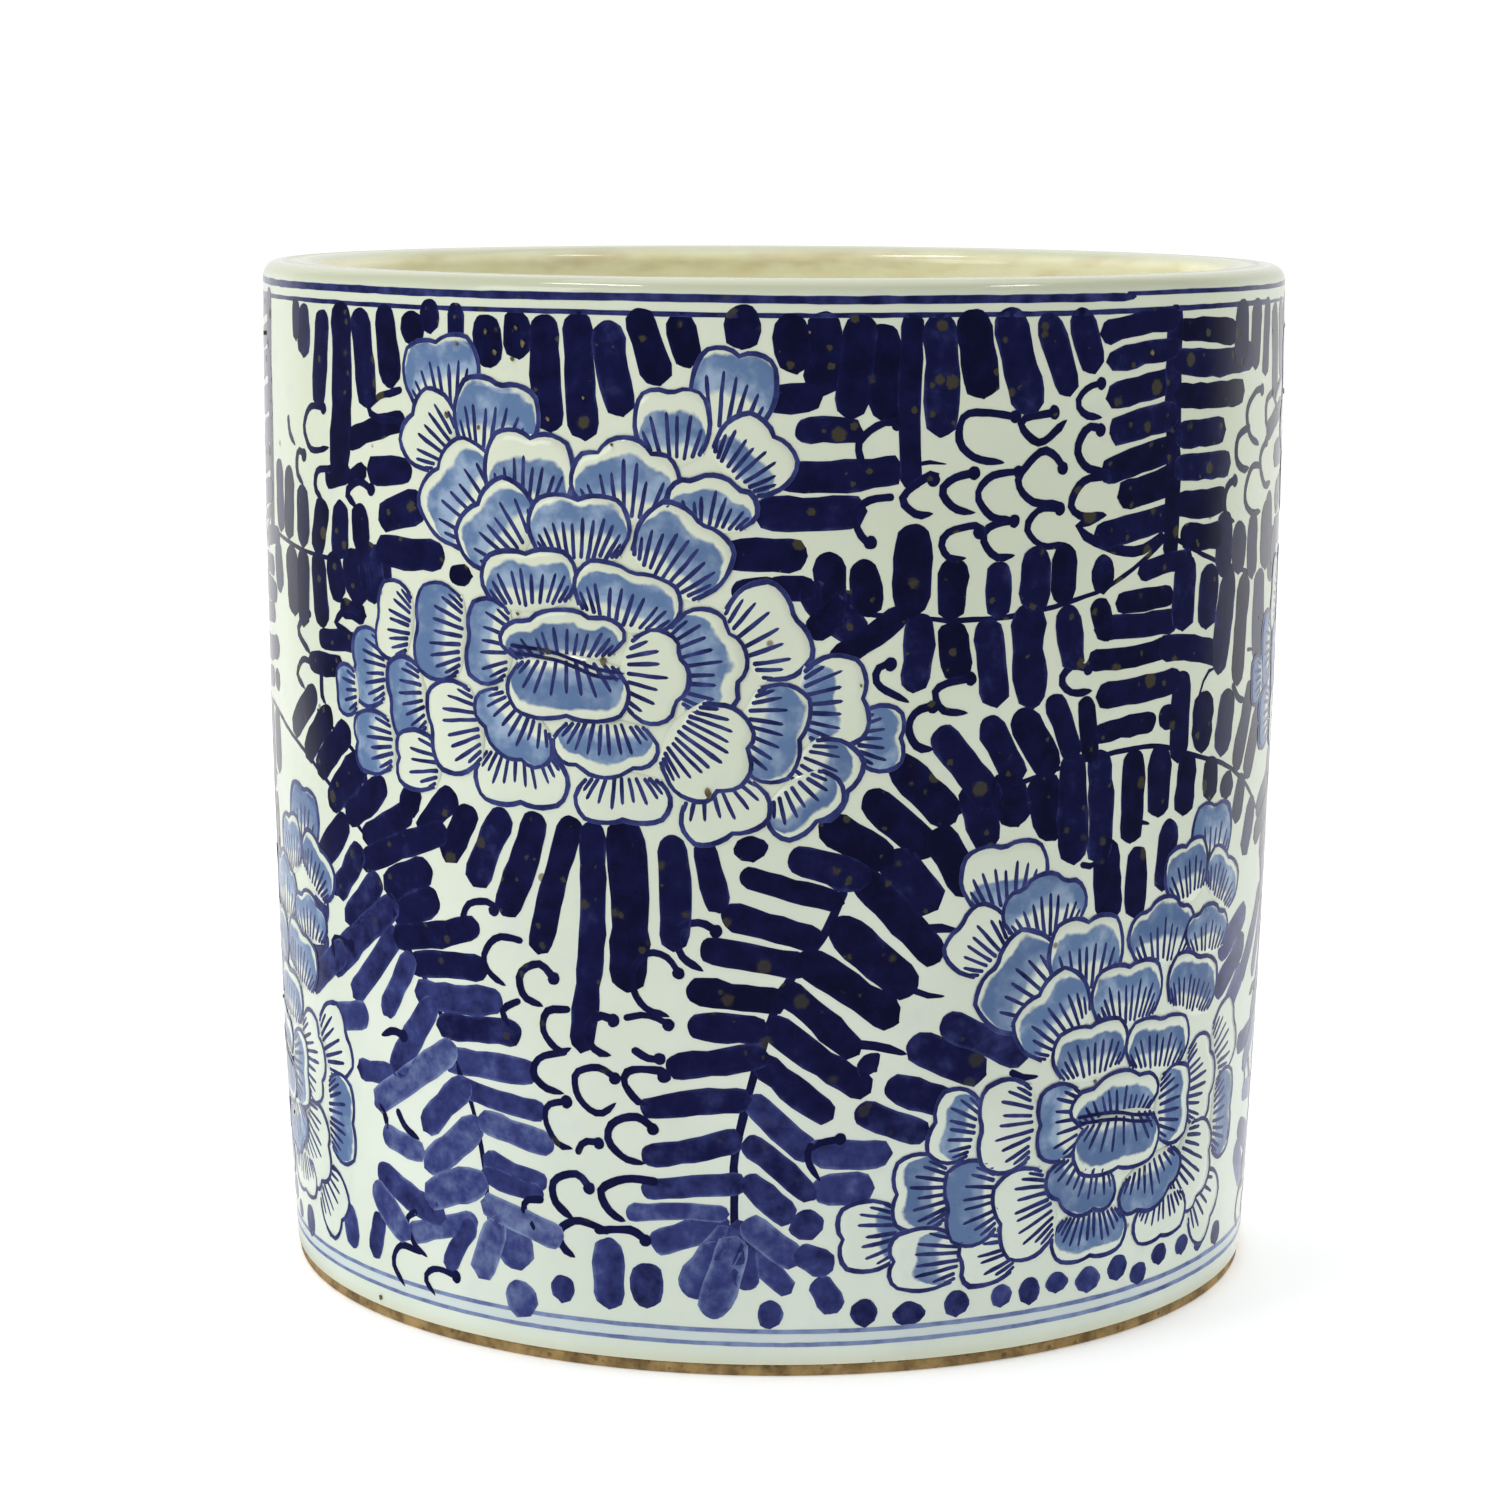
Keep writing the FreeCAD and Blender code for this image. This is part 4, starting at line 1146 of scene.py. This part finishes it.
for title, petals in (("upper", UPPER_FLOWER), ("lower", LOWER_FLOWER)):
    bunch = Petals(SEED + len(title))
    for shift in (0.0, THIRD, -THIRD):
        bunch.flower(petals, shift)
    bunch.patches(title + "_flower_petals", slabs, wash)
    bunch.outlines.piece(
        title + "_flower_outlines", strokes, cobalt, "cobalt_blue",
        Edge_wobble=0.2 * MM, Width_wander=0.42,
    )
hearts = Brushwork(SEED + 3)
for line in HEART_LINES:
    for shift in (0.0, THIRD, -THIRD):
        hearts.path(moved(line, shift), 0.9, 0.75, 0.42, 2.0, 2.0)
hearts.piece("flower_heart_lines", strokes, cobalt, "cobalt_blue", Edge_wobble=0.2 * MM)


def border(name, node, rings, load):
    """Lines drawn on the turning wheel: height, width, where each starts and how it drifts."""
    work = Brushwork(SEED + 4)
    once_round = 3 * THIRD + 3
    for height, width, start, drift in rings:
        ring = []
        for t in (k / 100 for k in range(101)):
            sway = 0.12 * math.sin(t * 23 + height) + 0.08 * math.sin(t * 61)
            ring.append((start + t * once_round, height + sway + drift * (t - 0.5)))
        work.path(ring, width, load, 0.03 + width * 0.01, 2.0, 3.0, 0.55)
    piece = work.piece(name, strokes, cobalt, "cobalt_blue", Edge_wobble=0.15 * MM)
    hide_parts(node)


border(
    "upper_painted_lines", "upper_border_lines",
    ((246.3, 1.9, 86.0, -0.4), (242.8, 1.25, 150.0, 0.0)), 0.68,
)
border(
    "lower_painted_lines", "lower_border_lines",
    ((11.1, 1.2, 170.0, 0.1), (8.0, 1.2, 250.0, -0.1)), 0.08,
)
specks = Brushwork(SEED + 5)
for x, y, size in IRON_SPOTS:
    for shift in thirds(x):
        speck = [(x + shift - size * 0.22, y), (x + shift + size * 0.22, y + 0.2)]
        specks.path(speck, size * 0.75, 1.0, 0.5, 0.3, 0.8)
specks.piece("iron_spots", strokes, iron_spot(), "cobalt_blue", Edge_wobble=0.5 * MM)

# ---------------------------------------------------------------- floor, light, camera

scene = bpy.context.scene
MIRRORED = {1: 0.38, 2: 0.8, 3: 0.06, 4: 0.87}   # dark in front of the pot, bright well behind it
MIRROR_TURN = 0.07                               # the bright part lies a little to the right
PANEL_CENTRE = 0.108


def studio_floor():
    """A plain pale floor that glows, though it is no lamp: a painted glow near the pot and behind
    it that lights the pot, an even glow to the eye, and for what the glaze mirrors a painted
    reflection, dark in front and bright behind.
    """
    bpy.ops.mesh.primitive_circle_add(vertices=96, radius=4.0, fill_type="NGON")
    floor = bpy.context.object
    floor.name = "studio_floor"
    finish, tree, shader, place = new_finish("studio_paper")
    rays = add(tree, "LightPath", out=None).outputs
    flat = add(tree, "SeparateXYZ", (place,), None).outputs
    away = add(tree, "VectorMath LENGTH", (place,), "Value")
    aside = add(tree, "Math ABSOLUTE", (flat[0],))
    way = add(tree, "Math ARCTAN2", (flat[1], aside))
    dip = add(tree, "Math DIVIDE", (PANEL_CENTRE, away))
    way = add(tree, "Math ADD", (way, dip))
    behind = add(tree, "Math SINE", (way,))
    right = add(tree, "Math DIVIDE", (flat[0], away))
    behind = add(tree, "Math MULTIPLY_ADD", (right, MIRROR_TURN, behind))
    mirrored = add(tree, "MapRange SMOOTHSTEP", {0: behind, **MIRRORED})
    # Painted glow: the floor shines near the pot, most of all behind it, and lights the pot like
    # a lamp.
    near = add(tree, "MapRange SMOOTHSTEP", (away, 0.16, 0.6, 0.7, 0.0))
    back = add(tree, "MapRange SMOOTHSTEP", (flat[1], -0.25, 0.05, 0.3))
    painted_floor_glow = add(tree, "Math MULTIPLY", (near, back))
    painted_floor_glow = add(tree, "Mix FLOAT", {0: rays["Is Camera Ray"], 2: painted_floor_glow, 3: 0.2})
    # Painted reflection: to glossy rays the floor is black and shows only this set glow, dark in
    # front and bright behind.
    painted_floor_glow = add(tree, "Mix FLOAT", {0: rays["Is Glossy Ray"], 2: painted_floor_glow, 3: mirrored})
    white = add(tree, "Mix FLOAT", {0: rays["Is Glossy Ray"], 2: 0.99, 3: 0.0})
    tree.links.new(white, shader.inputs["Base Color"])
    tree.links.new(painted_floor_glow, shader.inputs["Emission Strength"])
    shader.inputs["Emission Color"].default_value = linear("#ffffff")
    shader.inputs["Roughness"].default_value = 0.9
    shader.inputs["Specular IOR Level"].default_value = 0.1
    floor.data.materials.append(finish)


def studio_air():
    """White surroundings: pure white to the eye, a little dimmer from the front right, and for
    what the glaze mirrors, dark in front and bright behind."""
    world = bpy.data.worlds.new("studio_air")
    scene.world = world
    world.use_nodes = True
    tree = world.node_tree
    back = tree.nodes["Background"]
    rays = add(tree, "LightPath", out=None).outputs
    way = add(tree, "TexCoord", out="Generated")
    behind, soft = (
        add(tree, "VectorMath DOT_PRODUCT", (way, aim), "Value")
        for aim in ((MIRROR_TURN, 1.0, 0.0), (-0.16, 0.62, 0.0))
    )
    mirrored = add(tree, "MapRange SMOOTHSTEP", {0: behind, **MIRRORED})
    soft = add(tree, "Math ADD", (soft, 0.86))
    amount = add(tree, "Mix FLOAT", {0: rays["Is Glossy Ray"], 2: soft, 3: mirrored})
    amount = add(tree, "Mix FLOAT", {0: rays["Is Camera Ray"], 2: amount, 3: 1.05})
    tree.links.new(amount, back.inputs["Strength"])
    back.inputs["Color"].default_value = linear("#ffffff")


def studio_light(name, place, target, width, height, watts):
    """A soft box at a place, turned to a target."""
    lamp = bpy.data.lights.new(name, "AREA")
    lamp.shape = "RECTANGLE"
    lamp.size = width
    lamp.size_y = height
    lamp.energy = watts
    holder = bpy.data.objects.new(name, lamp)
    holder.location = place
    aim = Vector(target) - Vector(place)
    holder.rotation_euler = aim.to_track_quat("-Z", "Y").to_euler()
    scene.collection.objects.link(holder)


studio_floor()
studio_air()
studio_light("top_soft_box", (0.1, 0.2, 1.5), (0.0, 0.0, 0.1), 1.2, 1.2, 4.5)
studio_light("left_strip", (-0.65, -0.4, 1.45), (0.0, 0.0, 0.2), 0.5, 0.1, 3.6)
studio_light("right_strip", (0.9, -0.25, 1.45), (0.0, 0.0, 0.2), 0.28, 0.1, 1.6)
studio_light("left_soft_box", (-1.3, -0.9, 0.9), (0.0, 0.0, 0.12), 0.7, 0.7, 4.4)

EYE = (0.0, -0.9636, 0.2823)
LOOKS_DOWN = 0.1607
LOOKS_LEFT = 0.0056
ROLL = 0.00466

lens = bpy.data.cameras.new("camera")
lens.lens = 91.6
lens.sensor_width = 36.0
lens.clip_start = 0.02
lens.clip_end = 20.0
eye = bpy.data.objects.new("camera", lens)
turn = Matrix.Rotation(LOOKS_LEFT, 4, "Z") @ Matrix.Rotation(math.pi / 2 - LOOKS_DOWN, 4, "X")
eye.matrix_world = Matrix.Translation(EYE) @ turn @ Matrix.Rotation(ROLL, 4, "Z")
scene.collection.objects.link(eye)
scene.camera = eye
scene.view_settings.view_transform = "Standard"
scene.view_settings.look = "None"
